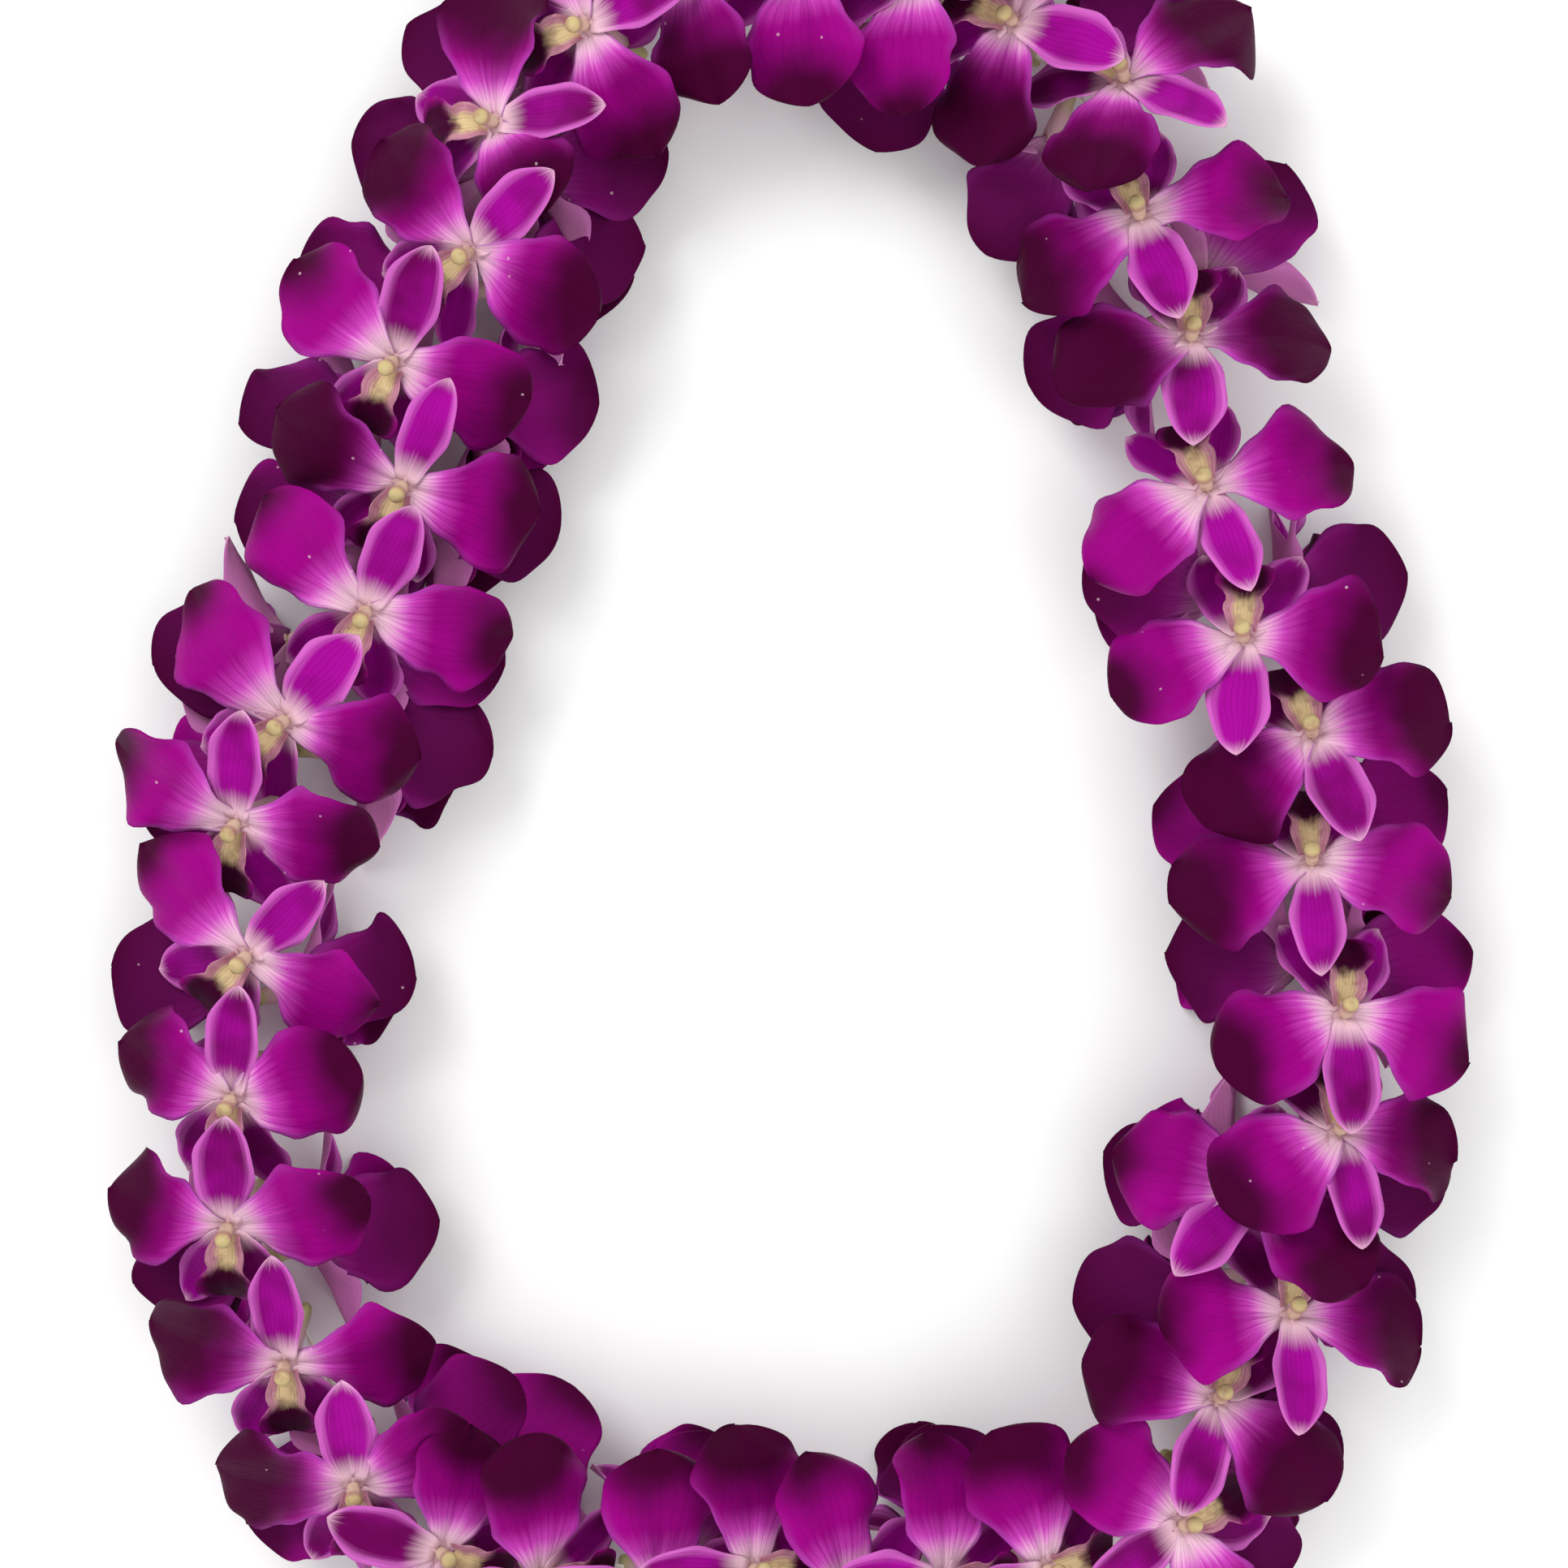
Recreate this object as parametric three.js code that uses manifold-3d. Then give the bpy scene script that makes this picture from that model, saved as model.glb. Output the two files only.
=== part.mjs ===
// A fresh flower lei: purple dendrobium orchids threaded on a cotton string that is tied into a ring.
// The lei lies flat with the table at z = 0. Millimetres, +Z up, +Y towards the narrow end of the egg shape.
// The blooms of the upper layer look up, and each one laps over the foot of the next one, clockwise.
// Below them lie the side blooms, threaded in pairs: one looks out of the ring and one into it.

import * as THREE from "three";
import { mergeVertices } from "three/addons/utils/BufferGeometryUtils.js";
import Module from "manifold-3d";

const wasm = await Module();
wasm.setup();

const RADIANS = Math.PI / 180;
const UP = new THREE.Vector3(0, 0, 1);

// Scale: a bloom 65 mm across is 373 pixels wide in the photograph, which looks straight down
const PHOTO_MIDDLE = 966;
const MM_PER_PIXEL = 0.174;
// Middle of the ring's box in photograph millimetres, moved to the origin
const RING_MIDDLE = new THREE.Vector2(1.85, 1.7);

// Heights above the table
const STRING_HEIGHT = 16.2;
const UPPER_HUB_HEIGHT = 28.5;
const UPPER_FLOOR = 18;
const SIDE_CEILING = 17;
const SIDE_HUB_DROP = 4.7;
// A side bloom's petals reach this far from its hub, and its hub sits this far from the string
const SIDE_REACH = 27;
const SIDE_HUB_NEAREST = 4.5;
const SIDE_HUB_FURTHEST = 13;
// Radii of the bends where lobes turn along the string, the table and the blooms above
const UPPER_BEND = 1.2;
const TABLE_BEND = 0.3;
const CEILING_BEND = 0.8;
// A side bloom's points below this height are pressed flat on the table
const PRESSED_HEIGHT = 0.25;

// String, its knot and the hole that it leaves in a bloom's foot
const STRING_RADIUS = 0.6;
const STRING_GAP = 0.3;
const STRING_HOLE_WIDTH = 2.4;
const STRING_HOLE_LENGTH = 14;
const STRING_SIDES = 4;
const STRING_STEPS = 72;
// Places along the string that are tried for the one nearest to a bloom
const ROUTE_STEPS = 1500;
// Knot with two cut tails in the gap after one of the blooms at the top of the ring
const KNOT_BLOOM = 14;
const KNOT_RADIUS = 1.7;
const TAIL_LENGTH = 11;
const TAIL_DROP = 0.45;

// Lean of the blooms: the dorsal sepal is raised, and a bloom out of line rolls to its own side
const UPPER_TILT = 28;
const UPPER_TILT_SPREAD = 4;
const UPPER_ROLL_PER_MM = 1.6;
const UPPER_ROLL_SPREAD = 8;
const SIDE_FACING = 100;
const SIDE_FACING_SPREAD = 5;
const SIDE_TILT = 12;
const SIDE_SPIN_SPREAD = 10;

// Upper blooms, clockwise from the foot of the left side: pixels across and down to the centre, the way
// that the dorsal sepal points (degrees from +X, anticlockwise), the angles from it to the petals
// on its left and on its right, and for some the sizes of those two petals
const UPPER_BLOOMS = [
  [543, 1914, 159, 84, 84],
  [435, 1832, 93, 79, 64],
  [350, 1682, 94, 68, 85],
  [280, 1513, 89, 77, 72, 0.84],
  [285, 1355, 85, 72, 66, 0.84],
  [303, 1178, 42, 88, 64],
  [290, 1015, 85, 66, 87],
  [350, 888, 47, 83, 62, 1.13],
  [450, 752, 62, 69, 75],
  [495, 598, 63, 86, 77],
  [485, 445, 71, 67, 85],
  [578, 310, 41, 88, 64],
  [608, 150, 6, 86, 63, 1, 0.88],
  [720, 30, 22, 84, 84],
  [850, -40, 8, 84, 84],
  [990, -52, 0, 84, 84],
  [1130, -35, -8, 84, 84],
  [1248, 25, -22, 84, 84],
  [1385, 97, -27, 66, 69],
  [1405, 265, -72, 76, 76],
  [1468, 415, -91, 89, 64],
  [1487, 600, -70, 78, 70],
  [1533, 786, -97, 85, 62],
  [1617, 904, -68, 76, 70],
  [1617, 1061, -89, 74, 75],
  [1657, 1249, -88, 71, 66, 0.88],
  [1650, 1394, -80, 71, 62, 0.86],
  [1546, 1465, -138, 84, 64],
  [1592, 1620, -88, 82, 82],
  [1502, 1724, -110, 67, 86],
  [1458, 1880, -150, 80, 62],
  [1290, 1935, -165, 84, 84],
  [1165, 1950, 176, 84, 84],
  [1045, 1966, 186, 84, 80],
  [928, 1936, 176, 84, 84],
  [806, 1964, 170, 84, 80],
  [668, 1948, 186, 84, 84],
];

// Side pairs, clockwise from the foot of the left side: pixels across and down to where the petals of
// the outer bloom and then of the inner bloom reach. At a corner of the ring both look out
const SIDE_PAIRS = [
  [285, 1880, 600, 1700],
  [165, 1590, 515, 1490],
  [150, 1180, 500, 1205],
  [165, 985, 585, 930],
  [155, 790, 600, 790],
  [290, 612, 672, 640],
  [295, 500, 725, 480],
  [370, 330, 800, 280],
  [440, 150, 735, 180],
  [760, -170, 500, 30],
  [1090, -190, 1100, 165],
  [1450, -60, 1245, 310],
  [1600, 200, 1290, 480],
  [1745, 725, 1350, 715],
  [1795, 1000, 1440, 1010],
  [1768, 1190, 1450, 1200],
  [1750, 1460, 1375, 1440],
  [1700, 1605, 1345, 1640],
  [1665, 1790, 1600, 1960],
  [1180, 2115, 1130, 1785],
  [890, 2115, 870, 1790],
  [560, 2080, 670, 1720],
];

// Lobes of a bloom. Angles are from the dorsal sepal, rise and fall are the slopes of the midline
// at the base and at the tip, and rows are where the blade gets a cross-section
const HALF_THICKNESS = 0.65;
const PETAL = {
  length: 29.5, width: 28, widest: 0.6, fullness: 0.56, waist: 0.5,
  rise: 22, fall: -30, cup: 0.1, wave: 1.1, sweep: 0, rows: [0.28, 0.62, 0.88],
};
const DORSAL_SEPAL = {
  length: 24, width: 12.5, widest: 0.5, fullness: 0.74, waist: 0.2,
  rise: 0, fall: -12, cup: 0.12, wave: 0.3, sweep: 0, rows: [0.36, 0.72],
};
const LATERAL_SEPAL = {
  length: 22.5, width: 11.5, widest: 0.46, fullness: 0.76, waist: 0.2,
  rise: -4, fall: -20, cup: 0.12, wave: 0.3, sweep: 2, rows: [0.46],
};
const LIP = {
  length: 15, width: 13, widest: 0.7, fullness: 0.5, waist: 0,
  rise: 55, fall: -30, cup: 0.4, wave: 0, sweep: 0, rows: [0.32, 0.72],
};
const LATERAL_ANGLE = 149;
const LIP_ANGLE = 180;
// A side bloom is half closed: its petals and its lip point forward and its sepals less so
const SIDE_PETAL_ANGLE = 79;
const OPEN = { petal: {}, sepal: {}, lip: {} };
const HALF_CLOSED = {
  petal: { rise: 52, fall: 74, rows: [0.4, 0.8] },
  sepal: { width: 10.5, rise: 26, fall: 8, rows: [0.5] },
  lip: { rise: 74, fall: 30, rows: [0.5] },
};
// No two petals are alike: shares of the length and width, and degrees of the slope at the tip
const SIZE_SPREAD = 0.05;
const FALL_SPREAD = 8;
// Waves of an edge along and across its lobe
const WAVES_ALONG = 1.6;
const WAVES_ACROSS = 0.3;
// Numbers that keep the draws for the measures of a bloom apart, and its side blooms from the upper ones
const DRAW = { tilt: 1, roll: 2, facing: 4, spin: 7, length: 10, width: 12, fall: 14, phase: 16 };
const FIRST_SIDE_BLOOM = 100;

// Hub where the lobes meet, and the foot (ovary and flower stalk) behind it
const HUB_RADIUS = 3.5;
const HUB_CORNERS = [-38, 38, 112, 180, 248];
const HUB_FRONT = 0.5;
const HUB_BACK = -1.3;
const LOBE_START = 2.8;
const CLAW = 1.6;
const STALK_RADIUS = 2;
const UPPER_STALK_LENGTH = 5.5;
const SIDE_STALK_LENGTH = 2.5;
const COLUMN = { baseRadius: 1.7, capRadius: 2.1, capHeight: 4.2, height: 6.2, shift: 0.4, bow: 1 };

// Gap kept between blooms that cross, and how much wider a bloom gets as the tool that cuts it
const CLEARANCE = 0.35;

const FINISHES = {
  upper: { color: 0x8f1a8c, roughness: 0.55 },
  side: { color: 0x7a1579, roughness: 0.55 },
  string: { color: 0xe9e2cf, roughness: 0.9 },
};

/** Repeatable value from -1 to 1 for one bloom and one of its measures. */
function spread(bloom, measure) {
  const turn = Math.sin(bloom * 12.9898 + measure * 78.233) * 43758.5453;
  return 2 * (turn - Math.floor(turn)) - 1;
}

/** Point of the photograph as a place on the table. */
function photoPoint(across, down) {
  return new THREE.Vector2(
    (across - PHOTO_MIDDLE) * MM_PER_PIXEL - RING_MIDDLE.x,
    (PHOTO_MIDDLE - down) * MM_PER_PIXEL - RING_MIDDLE.y,
  );
}

/** Half the width of a lobe at a share of its length. */
function halfWidth(lobe, along) {
  const skew = Math.log(0.5) / Math.log(lobe.widest);
  const blade = (lobe.width / 2) * Math.sin(Math.PI * along ** skew) ** lobe.fullness;
  return blade * (1 - lobe.waist * (1 - along) ** 2) + CLAW * (1 - along) ** 4;
}

/** Middle surface of a lobe in its bloom's own frame: the point and the forward normal. */
function lobePoint(lobe, along, across) {
  const angle = lobe.angle * RADIANS;
  const out = new THREE.Vector3(Math.sin(angle), Math.cos(angle), 0);
  const beside = new THREE.Vector3(Math.cos(angle), -Math.sin(angle), 0);
  const rise = lobe.rise * RADIANS;
  const turn = (lobe.fall - lobe.rise) * RADIANS;
  const slope = rise + turn * along;
  const reach = (lobe.length * (Math.sin(slope) - Math.sin(rise))) / turn;
  const height = (lobe.length * (Math.cos(rise) - Math.cos(slope))) / turn;
  const normal = out.clone().multiplyScalar(-Math.sin(slope));
  normal.z = Math.cos(slope);
  const half = halfWidth(lobe, along);
  const waves = WAVES_ALONG * along + WAVES_ACROSS * across + lobe.phase;
  const ripple = lobe.wave * across ** 2 * Math.sin(2 * Math.PI * waves);
  const point = out.multiplyScalar(LOBE_START + reach);
  point.z = height;
  point.addScaledVector(beside, half * across + lobe.sweep * Math.sign(lobe.angle) * along ** 2);
  point.addScaledVector(normal, lobe.cup * half * across ** 2 + ripple);
  return { point, normal };
}

/** Height with a rounded bend where it would pass below the floor. */
function liftedAbove(height, floor, bend) {
  return floor + bend * Math.log1p(Math.exp((height - floor) / bend));
}

/** Height with a rounded bend where it would pass above the ceiling. */
function heldBelow(height, ceiling, bend) {
  return ceiling - liftedAbove(ceiling - height, 0, bend);
}

/** Grows one bloom as a closed shell of few triangles, in world millimetres. */
class BloomShell {
  constructor(place, margin = 0) {
    this.place = place;
    this.margin = margin;
    this.points = [];
    this.triangles = [];
  }

  add(point) {
    this.points.push(point);
    return this.points.length - 1;
  }

  face(a, b, c) {
    this.triangles.push(a, b, c);
  }

  toWorld(local) {
    const { centre, right, dorsal, front } = this.place;
    return centre
      .clone()
      .addScaledVector(right, local.x)
      .addScaledVector(dorsal, local.y)
      .addScaledVector(front, local.z);
  }

  /** One point of a blade: on its middle surface, or half its thickness before or behind it. */
  bladePoint(lobe, along, across, offset) {
    const wider = { ...lobe, width: lobe.width + 2 * this.margin, length: lobe.length + this.margin };
    const { point, normal } = lobePoint(wider, along, across);
    const world = this.toWorld(point);
    const thin = HALF_THICKNESS * (1 - across ** 2);
    world.z = this.place.settle(world.z, thin);
    const way = this.toWorld(normal).sub(this.place.centre);
    world.addScaledVector(way, offset * (HALF_THICKNESS + this.margin));
    if (this.place.onTable && offset <= 0 && world.z < PRESSED_HEIGHT) {
      world.z = 0;
    }
    return this.add(world);
  }

  /** Cross-section of a blade: left edge, front, right edge and back. */
  section(lobe, along) {
    return [
      this.bladePoint(lobe, along, -1, 0),
      this.bladePoint(lobe, along, 0, 1),
      this.bladePoint(lobe, along, 1, 0),
      this.bladePoint(lobe, along, 0, -1),
    ];
  }

  /** Faces between two cross-sections, split alike on the front and the back. */
  loft([left, front, right, back], [nextLeft, nextFront, nextRight, nextBack]) {
    this.face(left, front, nextFront);
    this.face(left, nextFront, nextLeft);
    this.face(front, right, nextRight);
    this.face(front, nextRight, nextFront);
    this.face(left, nextBack, back);
    this.face(left, nextLeft, nextBack);
    this.face(back, nextRight, right);
    this.face(back, nextBack, nextRight);
  }

  /** Blade from its first section to its tip. */
  blade(lobe, sections) {
    for (let i = 1; i < sections.length; i += 1) {
      this.loft(sections[i - 1], sections[i]);
    }
    const [left, front, right, back] = sections.at(-1);
    const tip = this.bladePoint(lobe, 1, 0, 0);
    this.face(left, front, tip);
    this.face(front, right, tip);
    this.face(left, tip, back);
    this.face(back, tip, right);
  }

  /** Lobe that grows from two neighbouring corners of the hub. */
  lobe(lobe, corner) {
    const next = (corner + 1) % HUB_CORNERS.length;
    const [frontLeft, frontRight] = [this.hubFront[corner], this.hubFront[next]];
    const [backLeft, backRight] = [this.hubBack[corner], this.hubBack[next]];
    const sections = lobe.rows.map((along) => this.section(lobe, along));
    const [left, front, right, back] = sections[0];
    this.face(frontLeft, frontRight, front);
    this.face(frontLeft, front, left);
    this.face(frontRight, right, front);
    this.face(backLeft, back, backRight);
    this.face(backLeft, left, back);
    this.face(backRight, back, right);
    this.face(frontLeft, left, backLeft);
    this.face(frontRight, backRight, right);
    this.blade(lobe, sections);
  }

  ring(centre, across, along, radius) {
    return HUB_CORNERS.map((corner) => {
      const point = centre
        .clone()
        .addScaledVector(across, Math.sin(corner * RADIANS) * radius)
        .addScaledVector(along, Math.cos(corner * RADIANS) * radius);
      return this.add(point);
    });
  }

  /** Foot behind the hub, which narrows past the string to the cut end of its stalk. */
  foot() {
    const { threadPoint, right, stalkLength } = this.place;
    const start = this.toWorld(new THREE.Vector3(0, 0, HUB_BACK));
    const axis = threadPoint.clone().sub(start).normalize();
    const along = new THREE.Vector3().crossVectors(right, axis).normalize();
    const across = new THREE.Vector3().crossVectors(axis, along);
    const end = threadPoint.clone().addScaledVector(axis, stalkLength);
    const last = this.ring(end, across, along, STALK_RADIUS + this.margin);
    for (let j = 0; j < HUB_CORNERS.length; j += 1) {
      const next = (j + 1) % HUB_CORNERS.length;
      this.face(this.hubBack[j], this.hubBack[next], last[j]);
      this.face(this.hubBack[next], last[next], last[j]);
    }
    this.face(last[0], last[1], last[2]);
    this.face(last[0], last[2], last[3]);
    this.face(last[0], last[3], last[4]);
  }

  /** Column that stands on the hub, with its rounded cap; returns the ring at its base. */
  column() {
    const { right, dorsal } = this.place;
    const { baseRadius, capRadius, capHeight, height, shift, bow } = COLUMN;
    const level = (z) => this.toWorld(new THREE.Vector3(0, shift, z));
    const base = this.ring(level(HUB_FRONT + this.margin), right, dorsal, baseRadius + this.margin);
    const cap = this.ring(level(capHeight), right, dorsal, capRadius + this.margin);
    const top = this.add(this.toWorld(new THREE.Vector3(0, shift - bow, height + this.margin)));
    for (let j = 0; j < HUB_CORNERS.length; j += 1) {
      const next = (j + 1) % HUB_CORNERS.length;
      this.face(base[j], cap[j], base[next]);
      this.face(base[next], cap[j], cap[next]);
      this.face(cap[next], cap[j], top);
    }
    return base;
  }

  /** Lip in front of the two lateral sepals, on the part of the hub below the column. */
  lip(lobe, base) {
    const [rightCorner, lowCorner, leftCorner] = this.hubFront.slice(2);
    const [rightInner, lowInner, leftInner] = base.slice(2);
    const sections = lobe.rows.map((along) => this.section(lobe, along));
    const [left, front, right, back] = sections[0];
    this.face(rightCorner, rightInner, left);
    this.face(rightInner, lowInner, front);
    this.face(rightInner, front, left);
    this.face(lowInner, leftInner, front);
    this.face(leftInner, right, front);
    this.face(leftInner, leftCorner, right);
    this.face(leftCorner, lowCorner, back);
    this.face(leftCorner, back, right);
    this.face(lowCorner, rightCorner, back);
    this.face(rightCorner, left, back);
    this.blade(lobe, sections);
  }

  /** Whole bloom in one shell: foot, hub, three sepals, two petals, lip and column. */
  grow(lobes) {
    const corners = (height) => this.ring(
      this.toWorld(new THREE.Vector3(0, 0, height)),
      this.place.right,
      this.place.dorsal,
      HUB_RADIUS + this.margin,
    );
    this.hubFront = corners(HUB_FRONT + this.margin);
    this.hubBack = corners(HUB_BACK);
    const base = this.column();
    for (const j of [4, 0, 1]) {
      const next = (j + 1) % HUB_CORNERS.length;
      this.face(this.hubFront[next], this.hubFront[j], base[j]);
      this.face(this.hubFront[next], base[j], base[next]);
    }
    this.lip(lobes.lip, base);
    lobes.whorl.forEach((lobe, corner) => this.lobe(lobe, corner));
    this.foot();
    return this.solid();
  }

  solid() {
    const vertProperties = new Float32Array(this.points.flatMap((p) => [p.x, p.y, p.z]));
    const triVerts = new Uint32Array(this.triangles);
    return new wasm.Manifold(new wasm.Mesh({ numProp: 3, vertProperties, triVerts }));
  }
}

/** Directions of a bloom that is turned about the string: facing is measured from straight up. */
function lean(heading, facing, tilt, roll, spin) {
  const way = new THREE.Vector3(Math.cos(heading), Math.sin(heading), 0);
  const outward = new THREE.Vector3(-Math.sin(heading), Math.cos(heading), 0);
  const away = UP.clone()
    .multiplyScalar(Math.cos(facing * RADIANS))
    .addScaledVector(outward, Math.sin(facing * RADIANS));
  const dorsal = way.clone().multiplyScalar(Math.cos(tilt * RADIANS));
  dorsal.addScaledVector(away, Math.sin(tilt * RADIANS));
  const front = away.clone().multiplyScalar(Math.cos(tilt * RADIANS));
  front.addScaledVector(way, -Math.sin(tilt * RADIANS));
  front.applyAxisAngle(dorsal, -roll * RADIANS);
  dorsal.applyAxisAngle(front, spin * RADIANS);
  const right = new THREE.Vector3().crossVectors(dorsal, front);
  return { right, dorsal, front };
}

/** Upper blooms with their places, before they are tied to the string. */
function upperPlaces() {
  return UPPER_BLOOMS.map((row, index) => {
    const [across, down, heading, leftAngle, rightAngle, leftSize = 1, rightSize = 1] = row;
    const spot = photoPoint(across, down);
    const turn = heading * RADIANS;
    const tilt = UPPER_TILT + UPPER_TILT_SPREAD * spread(index, DRAW.tilt);
    const run = Math.tan(tilt * RADIANS) * (UPPER_HUB_HEIGHT - STRING_HEIGHT);
    return {
      index,
      turn,
      tilt,
      lobes: lobesOf(index, OPEN, [rightAngle, leftAngle], [rightSize, leftSize]),
      centre: new THREE.Vector3(spot.x, spot.y, UPPER_HUB_HEIGHT),
      target: new THREE.Vector3(
        spot.x + Math.cos(turn) * run,
        spot.y + Math.sin(turn) * run,
        STRING_HEIGHT,
      ),
    };
  });
}

/** Points of a closed line, each moved half way towards the middle of its two neighbours. */
function evenedOut(points) {
  const count = points.length;
  return points.map((point, i) => {
    const before = points[(i + count - 1) % count];
    const after = points[(i + 1) % count];
    return point.clone().multiplyScalar(2).add(before).add(after).divideScalar(4);
  });
}

/** String's route: it runs through the feet of the upper blooms, evened out twice. */
function stringRoute(places) {
  const points = evenedOut(evenedOut(places.map(({ target }) => target)));
  return new THREE.CatmullRomCurve3(points, true, "centripetal");
}

/** Share of the route that lies nearest to a point. */
function nearestShare(route, point) {
  let best = 0;
  let least = Infinity;
  for (let i = 0; i < ROUTE_STEPS; i += 1) {
    const gap = route.getPointAt(i / ROUTE_STEPS).distanceTo(point);
    if (gap < least) {
      least = gap;
      best = i / ROUTE_STEPS;
    }
  }
  return best;
}

/** Ties an upper bloom to the string and rolls it to the side that it lies on. */
function upperPlace(place, route) {
  const share = nearestShare(route, place.target);
  const threadPoint = route.getPointAt(share);
  const tangent = route.getTangentAt(share);
  const outward = new THREE.Vector3(-tangent.y, tangent.x, 0);
  const offset = place.target.clone().sub(threadPoint).dot(outward);
  const roll = UPPER_ROLL_PER_MM * offset + UPPER_ROLL_SPREAD * spread(place.index, DRAW.roll);
  return {
    ...place,
    ...lean(place.turn, 0, place.tilt, roll, 0),
    share,
    threadPoint,
    stalkLength: UPPER_STALK_LENGTH,
    settle: (height, thin) => liftedAbove(height, UPPER_FLOOR + thin, UPPER_BEND),
  };
}

/** One bloom of a side pair: side is 1 when it looks out of the ring and -1 when it looks in. */
function sidePlace(route, share, tip, side, index) {
  const threadPoint = route.getPointAt(share);
  const way = new THREE.Vector3(tip.x - threadPoint.x, tip.y - threadPoint.y, 0);
  const hubOut = Math.min(Math.max(way.length() - SIDE_REACH, SIDE_HUB_NEAREST), SIDE_HUB_FURTHEST);
  const heading = Math.atan2(way.y, way.x) - (side * Math.PI) / 2;
  const facing = SIDE_FACING + SIDE_FACING_SPREAD * spread(index, DRAW.facing + side);
  const spin = SIDE_SPIN_SPREAD * spread(index, DRAW.spin + side);
  const centre = threadPoint.clone().addScaledVector(way.normalize(), hubOut);
  centre.z -= SIDE_HUB_DROP;
  return {
    ...lean(heading, side * facing, SIDE_TILT, 0, spin),
    lobes: lobesOf(
      FIRST_SIDE_BLOOM + 2 * index + side,
      HALF_CLOSED,
      [SIDE_PETAL_ANGLE, SIDE_PETAL_ANGLE],
      [1, 1],
    ),
    centre,
    threadPoint,
    stalkLength: SIDE_STALK_LENGTH,
    onTable: true,
    settle: (height, thin) => heldBelow(
      liftedAbove(height, thin, TABLE_BEND),
      SIDE_CEILING - thin,
      CEILING_BEND,
    ),
  };
}

/** Petal of its own size and slope; number is 0 for the right one and 1 for the left one. */
function ownPetal(shape, bloom, number, size) {
  return {
    ...shape,
    length: shape.length * size * (1 + SIZE_SPREAD * spread(bloom, DRAW.length + number)),
    width: shape.width * (1 + SIZE_SPREAD * spread(bloom, DRAW.width + number)),
    fall: shape.fall + FALL_SPREAD * spread(bloom, DRAW.fall + number),
    phase: spread(bloom, DRAW.phase + number),
  };
}

/**
 * Lobes of a bloom, clockwise from the dorsal sepal as the hub's corners are. The angles and sizes are
 * those of the right petal and the left petal.
 */
function lobesOf(bloom, { petal, sepal, lip }, angles, sizes) {
  const lateral = { ...LATERAL_SEPAL, ...sepal, phase: 0 };
  return {
    whorl: [
      { ...DORSAL_SEPAL, ...sepal, angle: 0, phase: 0 },
      { ...ownPetal({ ...PETAL, ...petal }, bloom, 0, sizes[0]), angle: angles[0] },
      { ...lateral, angle: LATERAL_ANGLE },
      { ...lateral, angle: -LATERAL_ANGLE },
      { ...ownPetal({ ...PETAL, ...petal }, bloom, 1, sizes[1]), angle: -angles[1] },
    ],
    lip: { ...LIP, ...lip, angle: LIP_ANGLE, phase: 0 },
  };
}

/** Whole bloom, or the wider copy of it that cuts its neighbours clear. */
const growBloom = (place, margin) => new BloomShell(place, margin).grow(place.lobes);

/** Three.js geometry as a solid. */
function solidOf(geometry) {
  const bare = geometry.clone();
  bare.deleteAttribute("normal");
  bare.deleteAttribute("uv");
  const merged = mergeVertices(bare, 1e-4);
  const vertProperties = new Float32Array(merged.attributes.position.array);
  const triVerts = new Uint32Array(merged.index.array);
  return new wasm.Manifold(new wasm.Mesh({ numProp: 3, vertProperties, triVerts }));
}

/** Solid as a named mesh. */
function meshOf(name, solid, finish) {
  const { vertProperties, triVerts } = solid.getMesh();
  const geometry = new THREE.BufferGeometry();
  geometry.setAttribute("position", new THREE.BufferAttribute(vertProperties, 3));
  geometry.setIndex(new THREE.BufferAttribute(triVerts, 1));
  geometry.computeVertexNormals();
  const mesh = new THREE.Mesh(geometry, new THREE.MeshStandardMaterial({ ...finish, metalness: 0 }));
  mesh.name = name;
  return mesh;
}

/** Largest piece of a solid; a cut can leave scraps beside it. */
function largestPiece(solid) {
  return solid.decompose().reduce((most, piece) => (piece.volume() > most.volume() ? piece : most));
}

/** String's tube, closed on itself. */
function stringTube(route, radius) {
  return solidOf(new THREE.TubeGeometry(route, STRING_STEPS, radius, STRING_SIDES, true));
}

/** Straight square tool for the hole through the foot of a bloom. */
function holeTool(route, share) {
  const tool = new THREE.BoxGeometry(STRING_HOLE_WIDTH, STRING_HOLE_WIDTH, STRING_HOLE_LENGTH);
  const step = STRING_HOLE_LENGTH / 2 / route.getLength();
  const before = route.getPointAt((share - step + 1) % 1);
  const after = route.getPointAt((share + step) % 1);
  const way = after.sub(before).normalize();
  const matrix = new THREE.Matrix4().lookAt(new THREE.Vector3(), way, UP);
  const middle = route.getPointAt(share);
  tool.applyMatrix4(matrix);
  tool.translate(middle.x, middle.y, middle.z);
  return solidOf(tool);
}

/** Knot with its two cut tails, which hang down on the outside and on the inside. */
function knot(route, share, margin = 0) {
  const middle = route.getPointAt(share);
  const tangent = route.getTangentAt(share);
  const ball = new THREE.IcosahedronGeometry(KNOT_RADIUS + margin, 1);
  ball.translate(middle.x, middle.y, middle.z);
  let solid = solidOf(ball);
  for (const side of [-1, 1]) {
    const radius = STRING_RADIUS + margin;
    const tail = new THREE.CylinderGeometry(radius, radius, TAIL_LENGTH + margin, STRING_SIDES);
    tail.translate(0, (TAIL_LENGTH + margin) / 2, 0);
    const way = new THREE.Vector3(-tangent.y * side, tangent.x * side, -TAIL_DROP).normalize();
    tail.applyQuaternion(new THREE.Quaternion().setFromUnitVectors(new THREE.Vector3(0, 1, 0), way));
    tail.translate(middle.x, middle.y, middle.z);
    solid = solid.add(solidOf(tail));
  }
  return solid;
}

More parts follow.
